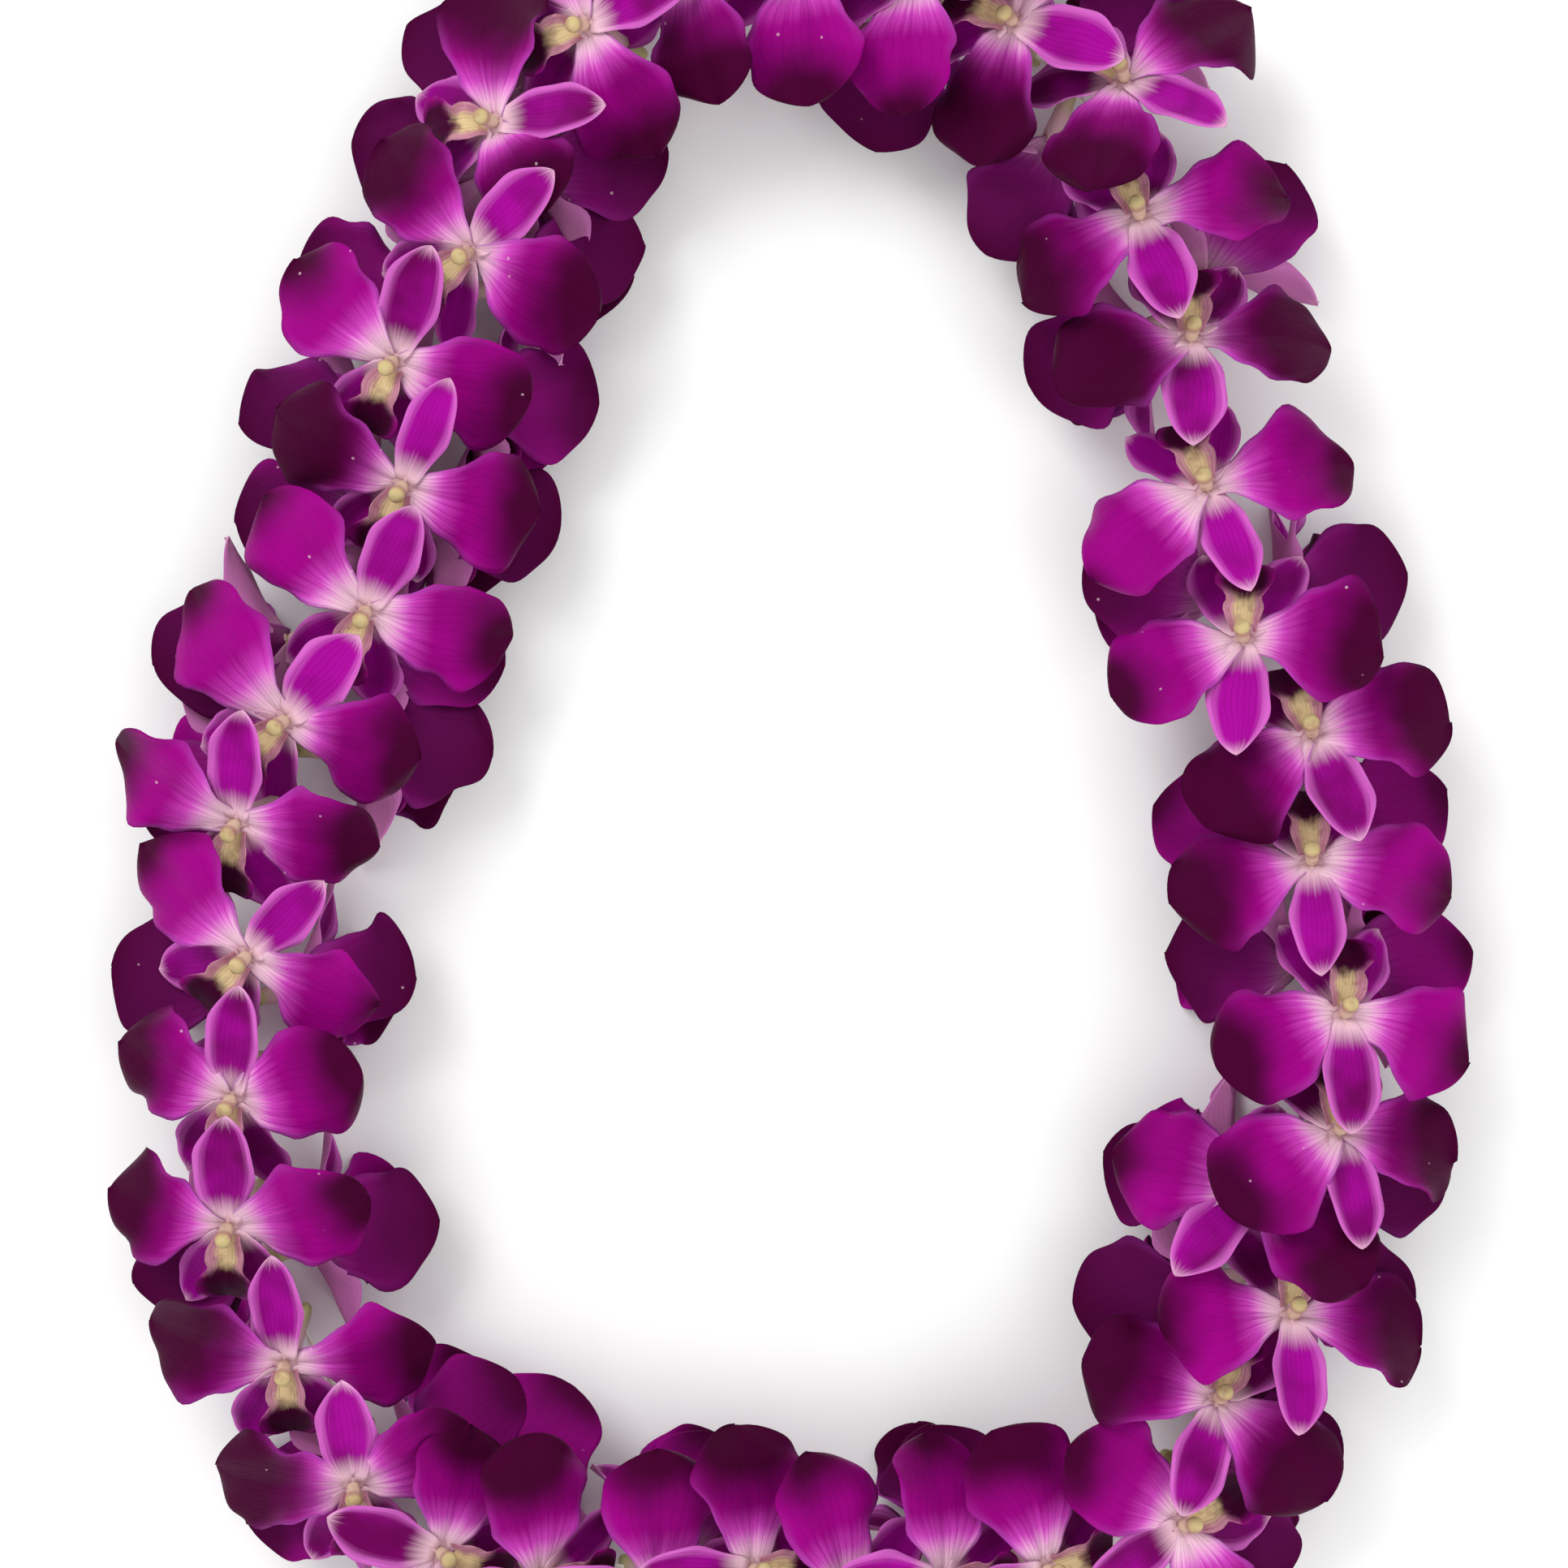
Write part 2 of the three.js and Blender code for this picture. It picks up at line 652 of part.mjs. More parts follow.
/** Cuts each solid clear of those before it in the list. */
function clearOfEachOther(items) {
  items.forEach((item, i) => {
    item.tool = item.grow(CLEARANCE).add(item.solid);
    for (let j = 0; j < i; j += 1) {
      const over = items[j];
      if (item.solid.intersect(over.tool).volume() > 0) {
        item.solid = largestPiece(item.solid.subtract(over.tool));
      }
    }
  });
}

/** Share of the route half way from an upper bloom to the next one. */
function shareAfter(uppers, index) {
  const here = uppers[index].share;
  const next = uppers[(index + 1) % uppers.length].share;
  return (here + ((next - here + 1) % 1) / 2) % 1;
}

/** Gap between two upper blooms that lies nearest to the middle of a side pair. */
function gapOf(uppers, route, [outAcross, outDown, inAcross, inDown]) {
  const middle = photoPoint((outAcross + inAcross) / 2, (outDown + inDown) / 2);
  const gaps = uppers.map((_, index) => {
    const point = route.getPointAt(shareAfter(uppers, index));
    return Math.hypot(point.x - middle.x, point.y - middle.y);
  });
  return gaps.indexOf(Math.min(...gaps));
}

/** Both blooms of a side pair, fused where their stalks meet. */
function growPair(route, share, pair, index, margin) {
  const [outAcross, outDown, inAcross, inDown] = pair;
  const outer = growBloom(sidePlace(route, share, photoPoint(outAcross, outDown), 1, index), margin);
  return outer.add(growBloom(sidePlace(route, share, photoPoint(inAcross, inDown), -1, index), margin));
}

const numbered = (name, number) => `${name}_${String(number).padStart(2, "0")}`;
const places = upperPlaces();
const route = stringRoute(places);
const uppers = places.map((place) => upperPlace(place, route));
const items = uppers.map((place, index) => ({
  name: numbered("upper_bloom", index + 1),
  finish: FINISHES.upper,
  share: place.share,
  grow: (margin) => growBloom(place, margin),
}));
SIDE_PAIRS.forEach((pair, index) => {
  const share = shareAfter(uppers, gapOf(uppers, route, pair));
  items.push({
    name: numbered("side_blooms", index + 1),
    finish: FINISHES.side,
    share,
    grow: (margin) => growPair(route, share, pair, index, margin),
  });
});
for (const item of items) {
  item.solid = item.grow(0);
}
clearOfEachOther(items);

const group = new THREE.Group();
group.name = "flower_lei";
const knotShare = shareAfter(uppers, KNOT_BLOOM);
const clearTube = stringTube(route, STRING_RADIUS + STRING_GAP).add(knot(route, knotShare, STRING_GAP));
for (const item of items) {
  const threaded = item.solid.subtract(holeTool(route, item.share));
  const touches = threaded.intersect(clearTube).volume() > 0;
  const clear = touches ? threaded.subtract(clearTube) : threaded;
  group.add(meshOf(item.name, largestPiece(clear), item.finish));
}
const string = stringTube(route, STRING_RADIUS).add(knot(route, knotShare));
group.add(meshOf("string", string, FINISHES.string));

export default group;
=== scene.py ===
"""Fresh flower lei: purple dendrobium orchids threaded on a knotted cotton string, laid flat in a ring."""

import logging
import math
from dataclasses import dataclass, field, replace
from enum import Enum, IntEnum
from typing import Self

import bmesh
import bpy
import numpy as np
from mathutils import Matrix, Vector


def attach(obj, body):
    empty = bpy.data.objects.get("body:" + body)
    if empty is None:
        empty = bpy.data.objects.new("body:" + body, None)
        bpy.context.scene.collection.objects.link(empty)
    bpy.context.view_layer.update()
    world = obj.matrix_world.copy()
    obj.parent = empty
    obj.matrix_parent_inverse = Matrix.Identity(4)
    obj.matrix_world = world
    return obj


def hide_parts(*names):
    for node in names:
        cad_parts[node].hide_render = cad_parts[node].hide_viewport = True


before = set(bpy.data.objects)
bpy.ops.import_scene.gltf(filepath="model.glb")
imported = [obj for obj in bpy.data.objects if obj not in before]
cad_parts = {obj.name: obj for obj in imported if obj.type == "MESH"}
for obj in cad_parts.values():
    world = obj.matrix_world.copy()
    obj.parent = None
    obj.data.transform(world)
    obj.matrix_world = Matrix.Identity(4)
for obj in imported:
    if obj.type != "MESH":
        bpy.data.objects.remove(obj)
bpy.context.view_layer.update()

LOG = logging.getLogger("flower_lei")
MM = 0.001
UP = np.array([0.0, 0.0, 1.0])

# Scale and middle of the ring, as in the solids
PHOTO_WIDTH = 1932
PHOTO_MIDDLE = 966
MM_PER_PIXEL = 0.174
RING_MIDDLE = np.array([1.85, 1.7])

# Heights above the table, in millimetres like all lengths here
STRING_HEIGHT = 16.2
UPPER_HUB_HEIGHT = 28.5
UPPER_FLOOR = 18
SIDE_CEILING = 17
SIDE_HUB_DROP = 4.7
# How far a side bloom's petals reach from its hub, and how near to the string and how far from it the
# hub may sit
SIDE_REACH = 27
SIDE_HUB_NEAREST = 4.5
SIDE_HUB_FURTHEST = 13
# Sizes of the rounded bends where blades meet those heights
UPPER_BEND = 1.2
TABLE_BEND = 0.3
CEILING_BEND = 0.8

# Lean of the blooms in degrees
UPPER_TILT = 28
UPPER_TILT_SPREAD = 4
UPPER_ROLL_PER_MM = 1.6
UPPER_ROLL_SPREAD = 8
SIDE_FACING = 100
SIDE_FACING_SPREAD = 5
SIDE_TILT = 12
SIDE_SPIN_SPREAD = 10
SIDE_PETAL_ANGLE = 79
LATERAL_ANGLE = 149

# Upper blooms, clockwise from the foot of the left side: pixels across and down to the centre, the way
# that the dorsal sepal points, the angles from it to the petals on its left and on its right, and for
# some the size of the left petal, or of the left and of the right petal
UPPER_BLOOMS: tuple[tuple[float, ...], ...] = (
    (543, 1914, 159, 84, 84, 1, 0.86), (435, 1832, 93, 79, 64, 1, 0.88), (350, 1682, 94, 68, 85),
    (280, 1513, 89, 77, 72, 0.84), (285, 1355, 85, 72, 66, 0.84), (303, 1178, 42, 88, 64),
    (290, 1015, 85, 66, 87), (350, 888, 47, 83, 62, 1.13), (450, 752, 62, 69, 75), (495, 598, 63, 86, 77),
    (485, 445, 71, 67, 85), (578, 310, 41, 88, 64), (608, 150, 6, 86, 63, 1, 0.74), (720, 30, 22, 84, 84),
    (850, -40, 8, 84, 84), (990, -52, 0, 84, 84), (1130, -35, -8, 84, 84), (1248, 25, -22, 84, 84),
    (1385, 97, -27, 66, 69), (1405, 265, -72, 76, 76), (1468, 415, -91, 89, 64), (1487, 600, -70, 78, 70),
    (1533, 786, -97, 85, 62), (1617, 904, -68, 76, 70), (1617, 1061, -89, 74, 75),
    (1657, 1249, -88, 71, 66, 0.88), (1650, 1394, -80, 71, 62, 0.86), (1546, 1465, -138, 84, 64),
    (1592, 1620, -88, 82, 82), (1502, 1724, -110, 67, 86), (1458, 1880, -150, 80, 62),
    (1290, 1935, -165, 84, 84), (1165, 1950, 176, 84, 84), (1045, 1966, 186, 84, 80),
    (928, 1936, 176, 84, 84), (806, 1964, 170, 84, 80), (668, 1948, 186, 84, 84),
)

# Side pairs, clockwise from the foot of the left side: pixels across and down to where the petals of
# the outer bloom and then of the inner bloom reach; at a corner of the ring both look out
SIDE_PAIRS: tuple[tuple[float, ...], ...] = (
    (285, 1880, 600, 1700), (165, 1590, 515, 1490), (150, 1180, 500, 1205), (165, 985, 585, 930),
    (155, 790, 600, 790), (290, 612, 672, 640), (295, 500, 725, 480), (370, 330, 800, 280),
    (440, 150, 735, 180), (760, -170, 500, 30), (1090, -190, 1100, 165), (1450, -60, 1245, 310),
    (1600, 200, 1290, 480), (1745, 725, 1350, 715), (1795, 1000, 1440, 1010), (1768, 1190, 1450, 1200),
    (1750, 1460, 1375, 1440), (1700, 1605, 1345, 1640), (1665, 1790, 1600, 1960), (1180, 2115, 1130, 1785),
    (890, 2115, 870, 1790), (560, 2080, 670, 1720),
)

# Hub, foot and column of a bloom; a profile is pairs of a share of the height and a radius, and the
# least rim keeps a division by zero off the poles of a ball
HUB_RADIUS = 2.8
HUB_FRONT = 0.3
HUB_BACK = -1.3
STALK_RADIUS = 1.8
UPPER_STALK_LENGTH = 5.5
SIDE_STALK_LENGTH = 2.5
COLUMN_HEIGHT = 6.0
COLUMN_SHIFT = 0.4
COLUMN_BOW = 1.0
COLUMN_FLATNESS = 0.9
COLUMN_ROUNDNESS = 0.45
COLUMN_PROFILE = ((0, 1.7), (0.45, 1.45), (0.62, 1.75), (0.8, 2.1), (0.95, 1.9), (1, 1.5))
LEAST_RIM = 1e-6
FOOT_SINK = 0.8
FOOT_RIBS = 6
FOOT_RIB_DEPTH = 0.06
FOOT_ROUNDNESS = 0.3
FOOT_PROFILE = ((0, 1.5), (0.12, STALK_RADIUS), (0.4, STALK_RADIUS), (0.7, 2.3), (0.9, 2.9), (1, 3.0))

# A lobe's length counts from its start in the solids; the thin blade runs on below the column, where
# half its width is the claw
LOBE_START = 2.8
BLADE_START = 1.3
CLAW = 2.2
# Half the thickness of a blade on its midline, and how much of it is gone at the edge
HALF_THICKNESS = 0.3
EDGE_THINNING = 0.7
# The rows of a blade crowd towards its tip, and the last one keeps a little width
ROW_CROWDING = 1.5
LAST_ROW = 0.9995

# Small forms of a blade: how often they turn along it, across it and with its phase, and where they lie
WAVES_ALONG = 1.6
WAVES_ACROSS = 0.3
FRILLS_ACROSS = 0.8
FRILLS_BY_PHASE = 3
NOTCHES_ALONG = 2.1
NOTCHES_ACROSS = 0.25
NOTCHES_BY_PHASE = 1.7
CURLS_ALONG = 0.9
CURLS_ACROSS = 0.5
CURL_UNEVENNESS = 0.8
CURL_START = 0.4
CREASE_WIDTH = 0.16
CREASE_FADE = 0.7
PINCH_MIDDLE = 0.5
PINCH_LENGTH = 0.1
PINCH_CUP_MIDDLE = 0.24
PINCH_CUP_LENGTH = 0.16

# Draws: the numbers that scramble them, where the side blooms start, and how much darker these are painted, a
# painted shade for lying low under the upper blooms
BLOOM_FACTOR = 12.9898
MEASURE_FACTOR = 78.233
SCRAMBLE = 43758.5453
FIRST_SIDE_BLOOM = 100
SIDE_PAINTED_SHADE = 0.38

# String and knot
STRING_RADIUS = 0.6
KNOT_BLOOM = 14
TAIL_LENGTH = 11
TAIL_DROP = 0.45


class Draw(IntEnum):
    """Numbers that keep the draws for the measures of a bloom apart."""

    TILT = 1
    ROLL = 2
    FACING = 4
    SPIN = 7
    LENGTH = 10
    WIDTH = 12
    FALL = 14
    PHASE = 16
    CUP = 18
    TWIST = 20
    CURL = 26
    TONE = 28
    FULLNESS = 40
    WIDEST = 42
    SEPAL_WIDTH = 44
    SEPAL_CURL = 50


class Part(Enum):
    """Parts of a bloom, in the order of its material slots."""

    PETAL = 0
    SEPAL = 1
    LIP = 2
    COLUMN = 3
    FOOT = 4


# Faces of each part's template, across or round it and along it
TEMPLATE_CELLS = {
    Part.PETAL: (20, 26),
    Part.SEPAL: (12, 22),
    Part.LIP: (18, 24),
    Part.COLUMN: (16, 12),
    Part.FOOT: (16, 12),
}


def spread(bloom: int, measure: int) -> float:
    """Value from -1 to 1 for a measure of a bloom, the same on every run."""
    turn = math.sin(bloom * BLOOM_FACTOR + measure * MEASURE_FACTOR) * SCRAMBLE
    return 2 * (turn - math.floor(turn)) - 1


def unit(vector: np.ndarray) -> np.ndarray:
    """Vector of length one."""
    return vector / np.linalg.norm(vector)


def turned(vector: np.ndarray, axis: np.ndarray, degrees: float) -> np.ndarray:
    """Vector turned about a unit axis.

    Args:
        vector: What is turned.
        axis: Unit vector to turn about, by the right-hand rule.
        degrees: How far.

    Returns:
        The turned vector.
    """
    angle = math.radians(degrees)
    along = axis * np.dot(axis, vector)
    return along + (vector - along) * math.cos(angle) + np.cross(axis, vector) * math.sin(angle)


def photo_point(across: float, down: float) -> np.ndarray:
    """Pixel of the photograph as a place on the table."""
    return np.array([across - PHOTO_MIDDLE, PHOTO_MIDDLE - down]) * MM_PER_PIXEL - RING_MIDDLE


def lifted_above(height: np.ndarray, floor: np.ndarray | float, bend: float) -> np.ndarray:
    """Height with a rounded bend where it would pass below a floor."""
    return floor + bend * np.logaddexp(0, (height - floor) / bend)


def held_below(height: np.ndarray, ceiling: np.ndarray | float, bend: float) -> np.ndarray:
    """Height with a rounded bend where it would pass above a ceiling."""
    return ceiling - lifted_above(ceiling - height, 0, bend)


def lengths_along(path: np.ndarray) -> np.ndarray:
    """Length that lies behind each point of a path."""
    return np.concatenate([[0.0], np.cumsum(np.linalg.norm(np.diff(path, axis=0), axis=1))])


def swell(value: np.ndarray, middle: float, width: float) -> np.ndarray:
    """Smooth swelling that is 1 at its middle and fades out on both sides."""
    return np.exp(-(((value - middle) / width) ** 2))


def ripple(turns: np.ndarray) -> np.ndarray:
    """Sine wave from -1 to 1, one wave for each turn."""
    return np.sin(2 * math.pi * turns)


@dataclass(frozen=True)
class Lobe:
    """Blade of a bloom: a petal, a sepal or the lip, in the bloom's own frame.

    The angle is from the dorsal sepal, rise and fall are its slopes at the hub and at the tip, and cup,
    wave, frill, crease, pinch, twist, curl and ragged say how strong its small forms are.
    """

    part: Part
    angle: float
    length: float
    width: float
    widest: float
    fullness: float
    waist: float
    rise: float
    fall: float
    cup: float
    wave: float
    sweep: float = 0.0
    phase: float = 0.0
    frill: float = 0.0
    frills: float = 5.0
    crease: float = 0.0
    pinch: float = 0.0
    twist: float = 0.0
    curl: float = 0.0
    ragged: float = 0.0

    def half_width(self, along: np.ndarray) -> np.ndarray:
        """Half the width at a share of the length.

        Args:
            along: Shares of the length, from the hub.

        Returns:
            Half widths.
        """
        skew = math.log(0.5) / math.log(self.widest)
        blade = self.width / 2 * np.sin(math.pi * along**skew) ** self.fullness
        pinched = 1 - self.pinch * swell(along, PINCH_MIDDLE, PINCH_LENGTH)
        return blade * pinched * (1 - self.waist * (1 - along) ** 2) + CLAW * (1 - along) ** 4

    def small_forms(self, along: np.ndarray, across: np.ndarray, half: np.ndarray) -> np.ndarray:
        """Heights of the small forms above the plain bent blade.

        Args:
            along: Shares of the length, from the hub.
            across: Places across, from -1 on the left edge to 1.
            half: Half widths there.

        Returns:
            Heights along the blade's normal.
        """
        side = np.sign(across)
        cup = self.cup * half * across**2
        cup = cup * (1 + 2 * self.pinch * swell(along, PINCH_CUP_MIDDLE, PINCH_CUP_LENGTH))
        wave = self.wave * across**2 * ripple(WAVES_ALONG * along + WAVES_ACROSS * across + self.phase)
        flutter = ripple(self.frills * along + FRILLS_ACROSS * across + FRILLS_BY_PHASE * self.phase)
        frill = self.frill * across**4 * flutter * np.sin(math.pi * along)
        crease = -self.crease * swell(across, 0, CREASE_WIDTH) * (1 - CREASE_FADE * along)
        rolled = np.clip(np.abs(across) - CURL_START, 0, None) ** 2
        uneven = 1 + CURL_UNEVENNESS * ripple(CURLS_ALONG * along + (1 + CURLS_ACROSS * side) * self.phase)
        curl = -self.curl * half * rolled * uneven * along
        twist = half * across * along * math.sin(math.radians(self.twist))
        return cup + wave + frill + crease + curl + twist

    def surface(self, along: np.ndarray, across: np.ndarray) -> tuple[np.ndarray, np.ndarray]:
        """Middle surface of the blade.

        Args:
            along: Shares of the length, from the hub.
            across: Places across, from -1 on the left edge to 1.

        Returns:
            Points, and normals that look forward.
        """
        angle = math.radians(self.angle)
        out = np.array([math.sin(angle), math.cos(angle), 0])
        beside = np.array([math.cos(angle), -math.sin(angle), 0])
        rise = math.radians(self.rise)
        turn = math.radians(self.fall - self.rise)
        slope = rise + turn * along
        root = LOBE_START - BLADE_START
        length = self.length + root
        reach = BLADE_START + length * (np.sin(slope) - math.sin(rise)) / turn
        height = length * (math.cos(rise) - np.cos(slope)) / turn - root * math.sin(rise)
        normal = np.outer(-np.sin(slope), out) + np.outer(np.cos(slope), UP)
        half = self.half_width(along)
        notches = NOTCHES_ALONG * along + NOTCHES_BY_PHASE * self.phase + NOTCHES_ACROSS * np.sign(across)
        uneven = 1 + self.ragged * np.abs(across) ** 3 * ripple(notches)
        sideways = half * across * uneven + self.sweep * np.sign(self.angle) * along**2
        point = np.outer(reach, out) + np.outer(height, UP) + np.outer(sideways, beside)
        return point + normal * self.small_forms(along, across, half)[:, None], normal


@dataclass(frozen=True)
class Variety:
    """How far the measures of a kind of lobe stray, by shares of them and by amounts."""

    shares: dict[str, tuple[Draw, float]]
    amounts: dict[str, tuple[Draw, float]]

    def of(self, lobe: Lobe, bloom: int, number: int) -> Lobe:
        """Lobe with measures of its own.

        Args:
            lobe: The usual lobe.
            bloom: Number of the bloom.
            number: Number of the lobe in it.

        Returns:
            The lobe of that bloom.
        """
        own = {
            name: getattr(lobe, name) * (1 + size * spread(bloom, draw + number))
            for name, (draw, size) in self.shares.items()
        }
        own |= {
            name: getattr(lobe, name) + size * spread(bloom, draw + number)
            for name, (draw, size) in self.amounts.items()
        }
        return replace(lobe, **own)


PETAL = Lobe(
    Part.PETAL, 0, length=29.5, width=28, widest=0.6, fullness=0.56, waist=0.45, rise=22, fall=-30, cup=0.1,
    wave=1.2, frill=0.9, frills=3.7, crease=0.5, curl=0.5, ragged=0.06,
)
DORSAL_SEPAL = Lobe(
    Part.SEPAL, 0, length=24, width=13.2, widest=0.53, fullness=0.68, waist=0.3, rise=0, fall=-12, cup=0.3,
    wave=0.4, frill=0.35, frills=2.6, crease=0.5, curl=0.15, ragged=0.05,
)
LATERAL_SEPAL = replace(
    DORSAL_SEPAL, length=22.5, width=12, widest=0.5, fullness=0.7, rise=-4, fall=-20, sweep=2,
)
LIP = Lobe(
    Part.LIP, 180, length=15, width=13, widest=0.7, fullness=0.5, waist=0, rise=55, fall=-30, cup=0.4,
    wave=0, frill=0.5, frills=5.5, crease=-0.4, pinch=0.34,
)
PETAL_VARIETY = Variety(
    {"length": (Draw.LENGTH, 0.05), "width": (Draw.WIDTH, 0.05)},
    {
        "fall": (Draw.FALL, 8), "phase": (Draw.PHASE, 1), "cup": (Draw.CUP, 0.15), "twist": (Draw.TWIST, 16),
        "curl": (Draw.CURL, 0.7), "fullness": (Draw.FULLNESS, 0.1), "widest": (Draw.WIDEST, 0.04),
    },
)
SEPAL_VARIETY = Variety(
    {"width": (Draw.SEPAL_WIDTH, 0.14)}, {"twist": (Draw.TWIST, 12), "curl": (Draw.SEPAL_CURL, 0.5)},
)


class Opening(Enum):
    """How far a bloom has opened: what its petals, sepals and lip change from the open ones."""

    OPEN = ({}, {}, {})
    HALF_CLOSED = (
        {"rise": 52, "fall": 74, "wave": 1.8, "frill": 1.1, "ragged": 0.09, "curl": 0.9},
        {"width": 10.5, "rise": 26, "fall": 8, "cup": 0.5, "wave": 0.9, "twist": 28},
        {"rise": 74, "fall": 30},
    )

    def lobes(
        self, bloom: int, angles: tuple[float, float], sizes: tuple[float, float] = (1, 1)
    ) -> list[Lobe]:
        """Lobes of one bloom, each with measures of its own.

        Args:
            bloom: Number of the bloom.
            angles: Degrees from the dorsal sepal to the right petal and to the left petal.
            sizes: Size of the right petal and of the left petal.

        Returns:
            Dorsal sepal, two petals, two lateral sepals and lip.
        """
        petal, sepal, lip = self.value
        petals = [
            PETAL_VARIETY.of(replace(PETAL, **petal, angle=angle, length=PETAL.length * size), bloom, number)
            for number, (angle, size) in enumerate(zip((angles[0], -angles[1]), sizes))
        ]
        sepals = [
            SEPAL_VARIETY.of(replace(shape, **sepal, angle=angle), bloom, number)
            for number, (shape, angle) in enumerate((
                (DORSAL_SEPAL, 0), (LATERAL_SEPAL, LATERAL_ANGLE), (LATERAL_SEPAL, -LATERAL_ANGLE),
            ), 2)
        ]
        return [sepals[0], *petals, *sepals[1:], replace(LIP, **lip)]


@dataclass
class StringRoute:
    """Closed smooth line of the string through given points.

    A gap between two of them counts as the square of its length, raised to the gap's power.
    """

    points: np.ndarray
    divisions: int = 200
    shares_tried: int = 1500
    tangent_reach: float = 1e-4
    gap_power: float = 0.25
    lengths: np.ndarray = field(init=False)

    def __post_init__(self) -> None:
        """Measures the line, so that places on it can be named by their share of its length."""
        self.lengths = lengths_along(self.at_parameter(np.linspace(0, 1, self.divisions + 1)))

    def at_parameter(self, parameter: np.ndarray) -> np.ndarray:
        """Points of the line at its own parameter.

        Args:
            parameter: Values from 0 to 1, which may run past either end.

        Returns:
            Points.
        """
        count = len(self.points)
        spot = np.asarray(parameter, float) * count
        first = np.floor(spot).astype(int)
        weight = (spot - first)[:, None]
        before, here, there, after = (self.points[(first + step) % count] for step in (-1, 0, 1, 2))
        gaps = [
            np.sum((b - a) ** 2, axis=1)[:, None] ** self.gap_power
            for a, b in ((before, here), (here, there), (there, after))
        ]
        leave = (here - before) / gaps[0] - (there - before) / (gaps[0] + gaps[1]) + (there - here) / gaps[1]
        arrive = (there - here) / gaps[1] - (after - here) / (gaps[1] + gaps[2]) + (after - there) / gaps[2]
        leave, arrive = leave * gaps[1], arrive * gaps[1]
        square = -3 * here + 3 * there - 2 * leave - arrive
        cube = 2 * here - 2 * there + leave + arrive
        return here + leave * weight + square * weight**2 + cube * weight**3

    def parameter(self, share: np.ndarray) -> np.ndarray:
        """Parameter of the line at shares of its length."""
        marks = np.linspace(0, 1, self.divisions + 1)
        return np.interp(np.asarray(share) * self.lengths[-1], self.lengths, marks)

    def at(self, share: float) -> np.ndarray:
        """Point at a share of the length."""
        return self.at_parameter(self.parameter(np.array([share])))[0]

    def tangent(self, share: float) -> np.ndarray:
        """Unit vector along the line at a share of the length."""
        ends = self.parameter(np.array([share])) + np.array([self.tangent_reach, -self.tangent_reach])
        return unit(np.subtract(*self.at_parameter(ends)))

    def outward(self, share: float) -> np.ndarray:
        """Level direction out of the ring at a share of the length."""
        tangent = self.tangent(share)
        return np.array([-tangent[1], tangent[0], 0])

    def nearest(self, point: np.ndarray) -> float:
        """Share of the length that lies nearest to a point.

        Args:
            point: The point.

        Returns:
            The share from 0 to 1.
        """
        shares = np.arange(self.shares_tried) / self.shares_tried
        gaps = np.linalg.norm(self.at_parameter(self.parameter(shares)) - point, axis=1)
        return float(shares[np.argmin(gaps)])


class Layer(Enum):
    """Layer of the lei that a bloom lies in."""

    UPPER = "upper"
    SIDE = "side"

    def settle(self, height: np.ndarray, half: np.ndarray) -> np.ndarray:
        """Heights of a blade that keeps to its layer.

        Args:
            height: Heights that it would have alone.
            half: Half its thickness there.

        Returns:
            The bent heights.
        """
        if self is Layer.UPPER:
            return lifted_above(height, UPPER_FLOOR + half, UPPER_BEND)
        return held_below(lifted_above(height, half, TABLE_BEND), SIDE_CEILING - half, CEILING_BEND)


@dataclass
class BloomPlace:
    """Where one bloom sits, how it leans and which lobes it has.

    The rows of its axes are its right, dorsal and front directions.
    """

    number: int
    layer: Layer
    centre: np.ndarray
    axes: np.ndarray
    thread_point: np.ndarray
    stalk_length: float
    lobes: list[Lobe]
    # Painted shade: how much darker all the bloom's colours are painted, for side blooms that lie low under
    # the upper ones
    tone: float = 0.0

    def to_world(self, local: np.ndarray) -> np.ndarray:
        """Points of the bloom's own frame as points of the world."""
        return self.centre + local @ self.axes

    def blade(self, lobe: Lobe, slab: np.ndarray) -> np.ndarray:
        """Points of a blade, bent where it meets the layer above or below.

        Args:
            lobe: The blade.
            slab: Template points: across from -1 to 1, along from -1 to 1, and the side.

        Returns:
            Points.
        """
        across = slab[:, 0]
        along = LAST_ROW * (1 - (1 - (slab[:, 1] + 1) / 2) ** ROW_CROWDING)
        middle, normal = lobe.surface(along, across)
        half = HALF_THICKNESS * (1 - EDGE_THINNING * across**4)
        world = self.to_world(middle)
        world[:, 2] = self.layer.settle(world[:, 2], half)
        way = self.to_world(normal) - self.centre
        return world + way * (half * slab[:, 2])[:, None]


